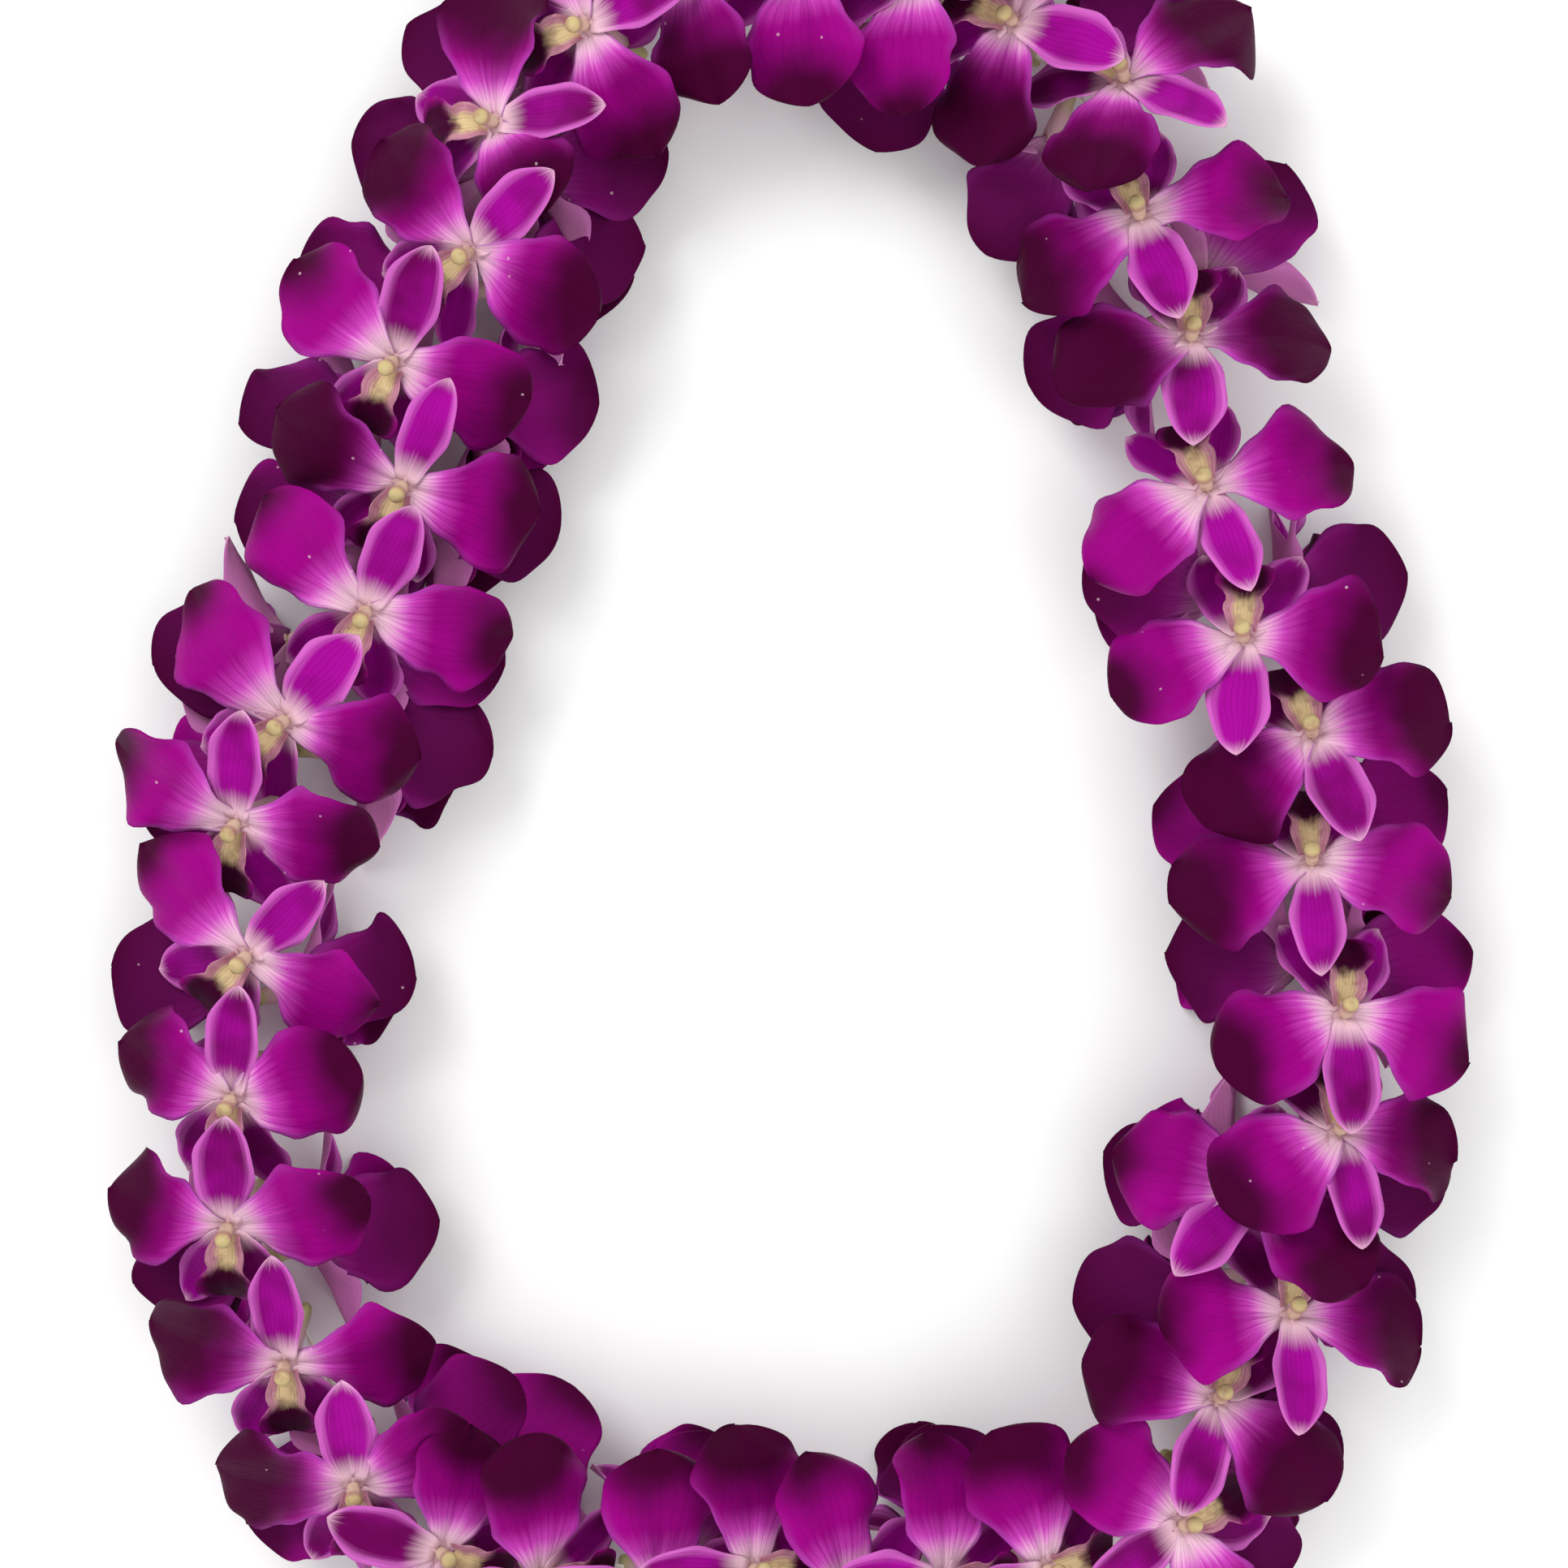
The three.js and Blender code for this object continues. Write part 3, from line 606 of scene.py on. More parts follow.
@dataclass
class LeiLayout:
    """Places of all the blooms round the ring."""

    smoothings: int = 2
    route: StringRoute = field(init=False)
    uppers: list[BloomPlace] = field(init=False)
    shares: list[float] = field(init=False)

    def __post_init__(self) -> None:
        """Lays the string through the feet of the upper blooms and ties each of them to it."""
        spots = [self._upper_spot(index) for index in range(len(UPPER_BLOOMS))]
        feet = np.array([target for _, target, _, _ in spots])
        for _ in range(self.smoothings):
            feet = (2 * feet + np.roll(feet, 1, axis=0) + np.roll(feet, -1, axis=0)) / 4
        self.route = StringRoute(feet)
        self.shares = [self.route.nearest(target) for _, target, _, _ in spots]
        self.uppers = [self._upper(index, *spot) for index, spot in enumerate(spots)]

    @staticmethod
    def lean(heading: float, facing: float, tilt: float, roll: float, spin: float) -> np.ndarray:
        """Directions of a bloom that is turned about the string.

        Args:
            heading: Way along the string in radians.
            facing: Degrees from straight up to the side that it looks to.
            tilt: Degrees that its dorsal sepal is raised.
            roll: Degrees that it rolls about its dorsal sepal.
            spin: Degrees that it is spun about its own axis.

        Returns:
            The right, dorsal and front directions.
        """
        way = np.array([math.cos(heading), math.sin(heading), 0])
        outward = np.array([-math.sin(heading), math.cos(heading), 0])
        away = UP * math.cos(math.radians(facing)) + outward * math.sin(math.radians(facing))
        lean = math.radians(tilt)
        dorsal = way * math.cos(lean) + away * math.sin(lean)
        front = turned(away * math.cos(lean) - way * math.sin(lean), dorsal, -roll)
        dorsal = turned(dorsal, front, spin)
        return np.array([np.cross(dorsal, front), dorsal, front])

    @staticmethod
    def _upper_spot(index: int) -> tuple[np.ndarray, np.ndarray, float, float]:
        """Where an upper bloom sits, before it is tied to the string.

        Args:
            index: Number of the bloom.

        Returns:
            Its centre, the place of its foot, its heading in radians and its tilt in degrees.
        """
        across, down, heading, *_ = UPPER_BLOOMS[index]
        spot = photo_point(across, down)
        turn = math.radians(heading)
        tilt = UPPER_TILT + UPPER_TILT_SPREAD * spread(index, Draw.TILT)
        run = math.tan(math.radians(tilt)) * (UPPER_HUB_HEIGHT - STRING_HEIGHT)
        centre = np.array([*spot, UPPER_HUB_HEIGHT])
        target = np.array([spot[0] + math.cos(turn) * run, spot[1] + math.sin(turn) * run, STRING_HEIGHT])
        return centre, target, turn, tilt

    def _upper(
        self, index: int, centre: np.ndarray, target: np.ndarray, turn: float, tilt: float
    ) -> BloomPlace:
        """Upper bloom, rolled to the side of the string that it lies on.

        Args:
            index: Number of the bloom.
            centre: Its centre.
            target: Place of its foot.
            turn: Its heading in radians.
            tilt: Its tilt in degrees.

        Returns:
            The bloom's place.
        """
        share = self.shares[index]
        thread_point = self.route.at(share)
        roll = UPPER_ROLL_PER_MM * np.dot(target - thread_point, self.route.outward(share))
        roll += UPPER_ROLL_SPREAD * spread(index, Draw.ROLL)
        _, _, _, left_angle, right_angle, *sizes = UPPER_BLOOMS[index]
        left_size, right_size = (*sizes, 1, 1)[:2]
        return BloomPlace(
            index, Layer.UPPER, centre, self.lean(turn, 0, tilt, roll, 0), thread_point, UPPER_STALK_LENGTH,
            Opening.OPEN.lobes(index, (right_angle, left_angle), (right_size, left_size)),
        )

    def share_after(self, index: int) -> float:
        """Share of the string half way from an upper bloom to the next one."""
        here, there = self.shares[index], self.shares[(index + 1) % len(self.shares)]
        return (here + ((there - here + 1) % 1) / 2) % 1

    def gap_of(self, pair: tuple[float, ...]) -> int:
        """Gap between two upper blooms that lies nearest to the middle of a side pair.

        Args:
            pair: Row of the side pair.

        Returns:
            Number of the upper bloom before the gap.
        """
        middle = (photo_point(*pair[:2]) + photo_point(*pair[-2:])) / 2
        spots = [self.route.at(self.share_after(index)) for index in range(len(self.shares))]
        return int(np.argmin([np.hypot(*(spot[:2] - middle)) for spot in spots]))

    def side_place(self, share: float, tip: np.ndarray, side: int, index: int) -> BloomPlace:
        """One bloom of a side pair.

        Args:
            share: Share of the string that it is threaded at.
            tip: Place on the table that its petals reach.
            side: 1 for the bloom that looks out of the ring, -1 for the other.
            index: Number of the pair.

        Returns:
            The bloom's place.
        """
        thread_point = self.route.at(share)
        way = np.array([*(tip - thread_point[:2]), 0])
        hub_out = min(max(np.linalg.norm(way) - SIDE_REACH, SIDE_HUB_NEAREST), SIDE_HUB_FURTHEST)
        heading = math.atan2(way[1], way[0]) - side * math.pi / 2
        facing = SIDE_FACING + SIDE_FACING_SPREAD * spread(index, Draw.FACING + side)
        spin = SIDE_SPIN_SPREAD * spread(index, Draw.SPIN + side)
        number = FIRST_SIDE_BLOOM + 2 * index + side
        return BloomPlace(
            number, Layer.SIDE, thread_point + unit(way) * hub_out - UP * SIDE_HUB_DROP,
            self.lean(heading, side * facing, SIDE_TILT, 0, spin), thread_point, SIDE_STALK_LENGTH,
            Opening.HALF_CLOSED.lobes(number, (SIDE_PETAL_ANGLE, SIDE_PETAL_ANGLE)), SIDE_PAINTED_SHADE,
        )

    def side_pair(self, index: int) -> list[BloomPlace]:
        """Blooms of a side pair, which share a gap between two upper blooms.

        Args:
            index: Number of the pair.

        Returns:
            The outer bloom and the inner bloom.
        """
        pair = SIDE_PAIRS[index]
        share = self.share_after(self.gap_of(pair))
        tips = (photo_point(*pair[:2]), photo_point(*pair[2:]))
        return [self.side_place(share, tip, side, index) for tip, side in zip(tips, (1, -1))]


def linked(name: str, data: bpy.types.ID) -> bpy.types.Object:
    """Object that shows a mesh, a lamp or a camera in the scene.

    Args:
        name: Name of the object.
        data: What it shows.

    Returns:
        The object.
    """
    thing = bpy.data.objects.new(name, data)
    bpy.context.scene.collection.objects.link(thing)
    return thing


def new_piece(name: str, form: bmesh.types.BMesh, materials: list[bpy.types.Material]) -> bpy.types.Object:
    """Object in the scene from a finished form, which is freed.

    Args:
        name: Name of the object and its mesh.
        form: The form.
        materials: Materials of its slots.

    Returns:
        The object.
    """
    mesh = bpy.data.meshes.new(name)
    form.to_mesh(mesh)
    form.free()
    for material in materials:
        mesh.materials.append(material)
    return linked(name, mesh)


@dataclass
class BloomMaker:
    """Bends templates into the parts of blooms and joins the blooms of one node in one mesh."""

    materials: list[bpy.types.Material]
    templates: dict[Part, bpy.types.Mesh] = field(init=False)
    rest: dict[Part, np.ndarray] = field(init=False)

    def __post_init__(self) -> None:
        """Makes the templates and keeps their points as arrays."""
        self.templates = {part: self._template(part) for part in Part}
        self.rest = {
            part: np.array([vertex.co[:] for vertex in mesh.vertices])
            for part, mesh in self.templates.items()
        }

    @staticmethod
    def _template(part: Part) -> bpy.types.Mesh:
        """Flat slab for a blade or ball for a round part, both from -1 to 1.

        Its faces carry the part's material and its place as a map, and its points their side.

        Args:
            part: The part.

        Returns:
            The template mesh.
        """
        form = bmesh.new()
        place = form.loops.layers.uv.new("lobe")
        across, along = TEMPLATE_CELLS[part]
        is_round = part in (Part.COLUMN, Part.FOOT)
        if is_round:
            bmesh.ops.create_uvsphere(form, u_segments=across, v_segments=along, radius=1, calc_uvs=True)
        else:
            bmesh.ops.create_grid(form, x_segments=across, y_segments=along, size=1, calc_uvs=True)
            bmesh.ops.solidify(form, geom=form.faces[:], thickness=2)
            lowest = min(vertex.co.z for vertex in form.verts)
            for vertex in form.verts:
                vertex.co.z -= lowest + 1
            bmesh.ops.recalc_face_normals(form, faces=form.faces[:])
        side = form.verts.layers.float.new("side")
        for vertex in form.verts:
            vertex[side] = vertex.co.z
        for face in form.faces:
            face.material_index = part.value
            face.smooth = True
            for loop in face.loops:
                x, y, z = loop.vert.co
                loop[place].uv = ((x + 1) / 2, ((z if is_round else y) + 1) / 2)
        mesh = bpy.data.meshes.new(f"template_{part.name.lower()}")
        form.to_mesh(mesh)
        form.free()
        return mesh

    def _rounded(
        self, part: Part, profile: tuple[tuple[float, float], ...], roundness: float, rib_depth: float = 0
    ) -> tuple[np.ndarray, np.ndarray, np.ndarray]:
        """Points of a round part that follows a profile.

        Args:
            part: The part.
            profile: Shares of its height, each with a radius.
            roundness: How round its ends are, from 0 for flat ones to 1.
            rib_depth: How deep it is ribbed, as a share of the radius.

        Returns:
            The first and second places across, and the shares of the height.
        """
        ball = self.rest[part]
        share = (ball[:, 2] + 1) / 2
        rim = np.clip(np.hypot(ball[:, 0], ball[:, 1]), LEAST_RIM, 1)
        ribs = 1 + rib_depth * np.cos(FOOT_RIBS * np.arctan2(ball[:, 1], ball[:, 0]))
        radius = np.interp(share, *zip(*profile)) * ribs * rim**roundness / rim
        return ball[:, 0] * radius, ball[:, 1] * radius, share

    def column_points(self, place: BloomPlace) -> np.ndarray:
        """Column on the hub, with its swollen cap, bowed towards the lip.

        Args:
            place: The bloom's place.

        Returns:
            Points.
        """
        x, y, share = self._rounded(Part.COLUMN, COLUMN_PROFILE, COLUMN_ROUNDNESS)
        return place.to_world(np.stack([
            x, y * COLUMN_FLATNESS + COLUMN_SHIFT - COLUMN_BOW * share**2, share * COLUMN_HEIGHT,
        ], axis=1))

    def hub_points(self, place: BloomPlace) -> np.ndarray:
        """Points of the low rounded hub that the lobes grow from."""
        size = np.array([HUB_RADIUS, HUB_RADIUS, (HUB_FRONT - HUB_BACK) / 2])
        return place.to_world(self.rest[Part.FOOT] * size + UP * (HUB_FRONT + HUB_BACK) / 2)

    def foot_points(self, place: BloomPlace) -> np.ndarray:
        """Ribbed ovary that narrows past the string to the cut end of its stalk.

        Args:
            place: The bloom's place.

        Returns:
            Points.
        """
        start = place.to_world(np.array([[0.0, 0.0, HUB_BACK + FOOT_SINK]]))[0]
        axis = unit(place.thread_point - start)
        dorsal = unit(np.cross(place.axes[0], axis))
        right = np.cross(axis, dorsal)
        length = np.linalg.norm(place.thread_point - start) + place.stalk_length
        x, y, share = self._rounded(Part.FOOT, FOOT_PROFILE, FOOT_ROUNDNESS, FOOT_RIB_DEPTH)
        return start + np.outer(x, right) + np.outer(y, dorsal) + np.outer((1 - share) * length, axis)

    def parts(self, place: BloomPlace) -> list[tuple[Part, np.ndarray]]:
        """All the parts of one bloom.

        Args:
            place: The bloom's place.

        Returns:
            The parts, each with its points.
        """
        return [
            *((lobe.part, place.blade(lobe, self.rest[lobe.part])) for lobe in place.lobes),
            (Part.COLUMN, self.column_points(place)),
            (Part.FOOT, self.hub_points(place)),
            (Part.FOOT, self.foot_points(place)),
        ]

    def make(self, name: str, node: str, places: list[BloomPlace]) -> bpy.types.Object:
        """Builds the blooms of one node as one piece.

        Args:
            name: Name of the new piece.
            node: Node that it stands for.
            places: Places of its blooms.

        Returns:
            The new piece.
        """
        form = bmesh.new()
        tone = form.verts.layers.float.new("tone")
        for place in places:
            own = spread(place.number, Draw.TONE)
            for count, (part, points) in enumerate(self.parts(place), 1):
                # Each part takes the bloom's painted shade plus its own random tone
                value = place.tone + (own + spread(place.number, Draw.TONE + count)) / 2
                first = len(form.verts)
                form.from_mesh(self.templates[part])
                form.verts.ensure_lookup_table()
                for vertex, point in zip(form.verts[first:], points * MM):
                    vertex.co = point
                    vertex[tone] = value
        piece = new_piece(name, form, self.materials)
        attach(piece, "root")
        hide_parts(node)
        return piece


@dataclass
class CottonString:
    """Twisted cotton string, with the knot that closes the ring and its two cut tails."""

    route: StringRoute
    knot_share: float
    strands: int = 3
    groove: float = 0.2
    pitch: float = 4.5
    sides: int = 12
    step: float = 0.55
    knot_turns: float = 2.5
    knot_length: float = 2.4
    knot_radius: float = 0.95
    knot_points: int = 46
    tail_points: int = 22
    tail_start: float = 0.12
    tail_share: float = 0.96
    tail_sag: float = 0.4
    merge_distance: float = 1e-6

    def tube(self, form: bmesh.types.BMesh, path: np.ndarray, closed: bool) -> None:
        """Adds a twisted tube along a path.

        Args:
            form: Mesh that is added to.
            path: Points of the middle line.
            closed: Whether the last point meets the first.
        """
        made = bmesh.ops.create_grid(form, x_segments=self.sides, y_segments=len(path) - 1, size=1)
        gone = lengths_along(path)
        tangents = np.gradient(path, axis=0)
        pitch = self.pitch
        if closed:
            tangents[0] = tangents[-1] = path[1] - path[-2]
            pitch = gone[-1] / round(gone[-1] / self.pitch)
        for vertex in made["verts"]:
            row = round((vertex.co.y + 1) / 2 * (len(path) - 1))
            around = (vertex.co.x + 1) * math.pi
            tangent = unit(tangents[row])
            beside = unit(np.cross(tangent, UP))
            above = np.cross(beside, tangent)
            twist = 2 * math.pi * gone[row] / pitch
            bulge = 1 - self.groove + self.groove * abs(math.cos(self.strands / 2 * (around + twist)))
            offset = (beside * math.cos(around) + above * math.sin(around)) * STRING_RADIUS * bulge
            vertex.co = Vector((path[row] + offset) * MM)

    def ring_path(self) -> np.ndarray:
        """Points of the whole ring, with the last on the first."""
        count = round(self.route.lengths[-1] / self.step)
        return self.route.at_parameter(self.route.parameter(np.linspace(0, 1, count + 1)))

    def knot_path(self) -> np.ndarray:
        """Middle line of the knot: one tail, close turns round the string, and the other tail.

        Returns:
            Its points.
        """
        middle = self.route.at(self.knot_share)
        tangent = self.route.tangent(self.knot_share)
        outward = self.route.outward(self.knot_share)
        shares = np.linspace(0, 1, self.knot_points)
        angle = 2 * math.pi * self.knot_turns * shares
        wraps = (
            middle
            + np.outer((shares - 0.5) * self.knot_length, tangent)
            + self.knot_radius * (np.outer(np.cos(angle), outward) + np.outer(np.sin(angle), UP))
        )
        tails = []
        for side in (1, -1):
            way = unit(outward * side - UP * TAIL_DROP)
            shares = np.linspace(self.tail_start, 1, self.tail_points)
            sag = np.outer(self.tail_sag * shares**2, UP)
            tails.append(middle + np.outer(shares * TAIL_LENGTH * self.tail_share, way) - sag)
        return np.concatenate([tails[0][::-1], wraps, tails[1]])

    def make(self, material: bpy.types.Material) -> bpy.types.Object:
        """Builds the string as one piece.

        Args:
            material: Its finish.

        Returns:
            The new piece.
        """
        form = bmesh.new()
        self.tube(form, self.ring_path(), closed=True)
        self.tube(form, self.knot_path(), closed=False)
        bmesh.ops.remove_doubles(form, verts=form.verts[:], dist=self.merge_distance)
        bmesh.ops.holes_fill(form, edges=[edge for edge in form.edges if edge.is_boundary])
        bmesh.ops.recalc_face_normals(form, faces=form.faces[:])
        for face in form.faces:
            face.smooth = True
        piece = new_piece("cotton_string", form, [material])
        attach(piece, "root")
        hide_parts("string")
        return piece


Colour = tuple[float, float, float]
Span = tuple[float, float]

# Numbers of the mix node's inputs and output that carry colours
MIX_FIRST = 6
MIX_SECOND = 7
MIX_RESULT = 2


@dataclass(frozen=True)
class Wire:
    """Output of a shader node, which counts like a number and blends colours like a mask."""

    bench: "NodeBench"
    socket: bpy.types.NodeSocket

    def __add__(self, other: Self | float) -> Self:
        """Sum."""
        return self.bench.math("ADD", self, other)

    def __sub__(self, other: Self | float) -> Self:
        """Difference."""
        return self.bench.math("SUBTRACT", self, other)

    def __mul__(self, other: Self | float) -> Self:
        """Product."""
        return self.bench.math("MULTIPLY", self, other)

    def __pow__(self, power: float) -> Self:
        """Power."""
        return self.bench.math("POWER", self, power)

    def swing(self, size: float) -> Self:
        """Pattern from 0 to 1 as a swing about 0, as wide as the size."""
        return (self - 0.5) * size

    def step(self, span: Span) -> Self:
        """Soft step from 0 where the span begins to 1 where it ends.

        Args:
            span: Values at its beginning and its end, which may be the lower one.

        Returns:
            The step.
        """
        ends = {"From Min": min(span), "From Max": max(span)}
        ends |= {"To Min": float(span[0] > span[1]), "To Max": float(span[0] < span[1])}
        inputs = {"Value": self, **ends}
        return self.bench.wire("ShaderNodeMapRange", "Result", inputs, interpolation_type="SMOOTHSTEP")

    def blend(self, first: Self | Colour, second: Self | Colour) -> Self:
        """Colour that is the first where this mask is 0 and the second where it is 1."""
        inputs = {0: self, MIX_FIRST: first, MIX_SECOND: second}
        return self.bench.wire("ShaderNodeMix", MIX_RESULT, inputs, data_type="RGBA")


@dataclass(frozen=True)
class NodeBench:
    """Makes and links shader nodes in one tree."""

    tree: bpy.types.NodeTree

    def feed(self, node: bpy.types.Node, inputs: dict[str | int, object]) -> None:
        """Links or sets inputs of a node.

        Args:
            node: The node.
            inputs: Wires, numbers and colours, by the name or number of the input.
        """
        for name, value in inputs.items():
            target = node.inputs[name]
            if isinstance(value, Wire):
                self.tree.links.new(value.socket, target)
            elif target.type == "RGBA":
                target.default_value = (*value, 1)
            else:
                target.default_value = value

    def add(self, kind: str, inputs: dict[str | int, object], **settings: object) -> bpy.types.Node:
        """New node.

        Args:
            kind: Type of the node.
            inputs: Wires, numbers and colours, by the name or number of the input.
            settings: Values of its properties.

        Returns:
            The node.
        """
        node = self.tree.nodes.new(kind)
        for name, value in settings.items():
            setattr(node, name, value)
        self.feed(node, inputs)
        return node

    def wire(
        self, kind: str, output: str | int, inputs: dict[str | int, object], **settings: object
    ) -> Wire:
        """One output of a new node."""
        return Wire(self, self.add(kind, inputs, **settings).outputs[output])

    def math(self, operation: str, *values: Wire | float) -> Wire:
        """Result of a calculation."""
        return self.wire("ShaderNodeMath", 0, dict(enumerate(values)), operation=operation)

    def coords(self) -> Wire:
        """Place on the piece."""
        return self.wire("ShaderNodeTexCoord", "Object", {})

    def noise(self, vector: Wire, scale: float, detail: float = 2) -> Wire:
        """Soft random pattern from 0 to 1, as fine as the scale, with some finer layers."""
        return self.wire("ShaderNodeTexNoise", "Fac", {"Vector": vector, "Scale": scale, "Detail": detail})

    def cells(self, scale: float) -> bpy.types.Node:
        """Random cells, as fine as the scale."""
        return self.add("ShaderNodeTexVoronoi", {"Vector": self.coords(), "Scale": scale}, feature="F1")

    def bump(self, **inputs: Wire | float) -> Wire:
        """Normal of a relief with this Height, Distance and Strength."""
        return self.wire("ShaderNodeBump", "Normal", inputs)

    def group(self, tree: bpy.types.NodeTree, **inputs: Wire | float) -> dict[str, Wire]:
        """Outputs of a shared group by their names, for these inputs."""
        node = self.add("ShaderNodeGroup", inputs, node_tree=tree)
        return {socket.name: Wire(self, socket) for socket in node.outputs}

    def give(self, **outputs: Wire) -> bpy.types.NodeTree:
        """Closes a group that gives out these results.

        Args:
            outputs: The results by name; a Normal is a vector, and the rest are numbers.

        Returns:
            The group.
        """
        for name in outputs:
            kind = "NodeSocketVector" if name == "Normal" else "NodeSocketFloat"
            self.tree.interface.new_socket(name, in_out="OUTPUT", socket_type=kind)
        self.add("NodeGroupOutput", outputs)
        return self.tree


def new_group(name: str, *inputs: str) -> tuple[NodeBench, list[Wire]]:
    """Starts a shader node group.

    Args:
        name: Name of the group.
        inputs: Names of the numbers that it takes.

    Returns:
        Its bench, and a wire for each input.
    """
    tree = bpy.data.node_groups.new(name, "ShaderNodeTree")
    for socket in inputs:
        tree.interface.new_socket(socket, in_out="INPUT", socket_type="NodeSocketFloat")
    bench = NodeBench(tree)
    start = bench.add("NodeGroupInput", {})
    return bench, [Wire(bench, start.outputs[socket]) for socket in inputs]


def new_material(name: str) -> tuple[bpy.types.Material, NodeBench, bpy.types.Node]:
    """Starts a material.

    Args:
        name: Name of the material.

    Returns:
        The material, its bench and its shader.
    """
    material = bpy.data.materials.new(name)
    material.use_nodes = True
    return material, NodeBench(material.node_tree), material.node_tree.nodes["Principled BSDF"]


@dataclass
class SharedGroups:
    """Node groups that all the finishes of the bloom use."""

    back: Span = (0.2, -0.2)
    vein_line: Span = (0.35, 0)
    drift: float = 0.35
    drift_scale: float = 90
    streak_stretch: tuple[float, float, float] = (7, 0.8, 9)
    streak_scale: float = 1.6
    grain_scale: float = 220
    grain_relief: float = 0.9
    cell_scale: float = 1900
    cell_relief: float = 0.12
    vein_relief: float = 0.35
    relief_height: float = 0.0006
    place: bpy.types.NodeTree = field(init=False)
    veins: bpy.types.NodeTree = field(init=False)
    skin: bpy.types.NodeTree = field(init=False)

    def __post_init__(self) -> None:
        """Makes the groups."""
        self.place = self._place()
        self.veins = self._veins()
        self.skin = self._skin()

    def _place(self) -> bpy.types.NodeTree:
        """Place on a blade: along, across, distance from the midline, the part's random tone with the bloom's
        painted shade added, and the back.

        Returns:
            The group.
        """
        bench, _ = new_group("place_on_lobe")
        split = bench.add("ShaderNodeSeparateXYZ", {0: bench.wire("ShaderNodeUVMap", 0, {}, uv_map="lobe")})
        across = Wire(bench, split.outputs[0]) * 2 - 1
        tone, side = (
            bench.wire("ShaderNodeAttribute", "Fac", {}, attribute_name=name) for name in ("tone", "side")
        )
        return bench.give(
            Along=Wire(bench, split.outputs[1]),
            Across=across,
            Edge=bench.math("ABSOLUTE", across),
            Tone=tone,
            Back=side.step(self.back),
        )

    def _veins(self) -> bpy.types.NodeTree:
        """Fine veins that fan out along a blade, and soft streaks that run like them.

        Returns:
            The group.
        """
        bench, (count,) = new_group("fan_of_veins", "Count")
        place = bench.group(self.place)
        drift = bench.noise(bench.coords(), self.drift_scale, detail=1) * self.drift
        wave = bench.math("ABSOLUTE", bench.math("SINE", (place["Across"] + drift) * count))
        stretched = bench.wire("ShaderNodeCombineXYZ", 0, {
            number: place[name] * stretch
            for number, (name, stretch) in enumerate(zip(("Across", "Along", "Tone"), self.streak_stretch))
        })
        streaks = bench.noise(stretched, self.streak_scale, detail=3)
        return bench.give(Mask=wave.step(self.vein_line), Streaks=streaks)

    def _skin(self) -> bpy.types.NodeTree:
        """Fine relief of plant skin: tiny cells, soft unevenness and sunken veins, as a normal.

        Returns:
            The group.
        """
        bench, (veins, strength) = new_group("skin_relief", "Veins", "Strength")
        grain = bench.noise(bench.coords(), self.grain_scale)
        cells = Wire(bench, bench.cells(self.cell_scale).outputs["Distance"])
        height = grain * self.grain_relief + cells * self.cell_relief - veins * self.vein_relief
        normal = bench.bump(Distance=self.relief_height, Strength=strength, Height=height)
        return bench.give(Normal=normal, Grain=grain)


@dataclass(frozen=True)
class Accent:
    """Colour that comes in over a span of some measure, up to a depth."""

    tint: Colour
    span: Span | None = None
    depth: float = 1

    def over(self, base: Wire | Colour, measure: Wire, mask: Wire | None = None) -> Wire:
        """Colour with the accent laid over it.

        Args:
            base: The colour below.
            measure: What the span lies on; an accent without a span takes it as a mask.
            mask: Where the accent may show; everywhere if it is left out.

        Returns:
            The new colour.
        """
        weight = measure.step(self.span) if self.span else measure
        if mask is not None:
            weight = weight * mask
        if self.depth != 1:
            weight = weight * self.depth
        return weight.blend(base, self.tint)


@dataclass(frozen=True)
class Reading:
    """What a finish reads on a part of a bloom."""

    bench: NodeBench
    along: Wire
    edge: Wire
    tone: Wire
    back: Wire
    veins: Wire
    streaks: Wire

    def cloud(self, scale: float, detail: float = 2) -> Wire:
        """Soft random pattern over the piece, from 0 to 1."""
        return self.bench.noise(self.bench.coords(), scale, detail)


@dataclass(frozen=True)
class PlantFinish:
    """What all the finishes of the bloom share: a soft skin whose gleam takes the petals' own hue."""

    groups: SharedGroups
    name: str = "plant_skin"
    roughness: float = 0.49
    roughness_swing: float = 0.16
    specular: float = 0.15
    gleam: Colour = (0.7, 0.1, 0.75)
    relief: float = 0.3
    vein_count: float = 17

    def material(self) -> bpy.types.Material:
        """Makes the material, with its relief and the colours of its part.

        Returns:
            The material.
        """
        material, bench, shader = new_material(self.name)
        place = bench.group(self.groups.place)
        veins = bench.group(self.groups.veins, Count=self.vein_count)
        skin = bench.group(self.groups.skin, Strength=self.relief, Veins=veins["Mask"])
        wires = [place[name] for name in ("Along", "Edge", "Tone", "Back")]
        wires += [veins[name] for name in ("Mask", "Streaks")]
        bench.feed(shader, {
            "Specular IOR Level": self.specular,
            "Specular Tint": self.gleam,
            "Normal": skin["Normal"],
            "Roughness": skin["Grain"] * self.roughness_swing + self.roughness,
            "Base Color": self.colour(Reading(bench, *wires)),
        })
        return material

    def colour(self, read: Reading) -> Wire:
        """Colour of the part, which each finish makes in its own way."""
        raise NotImplementedError


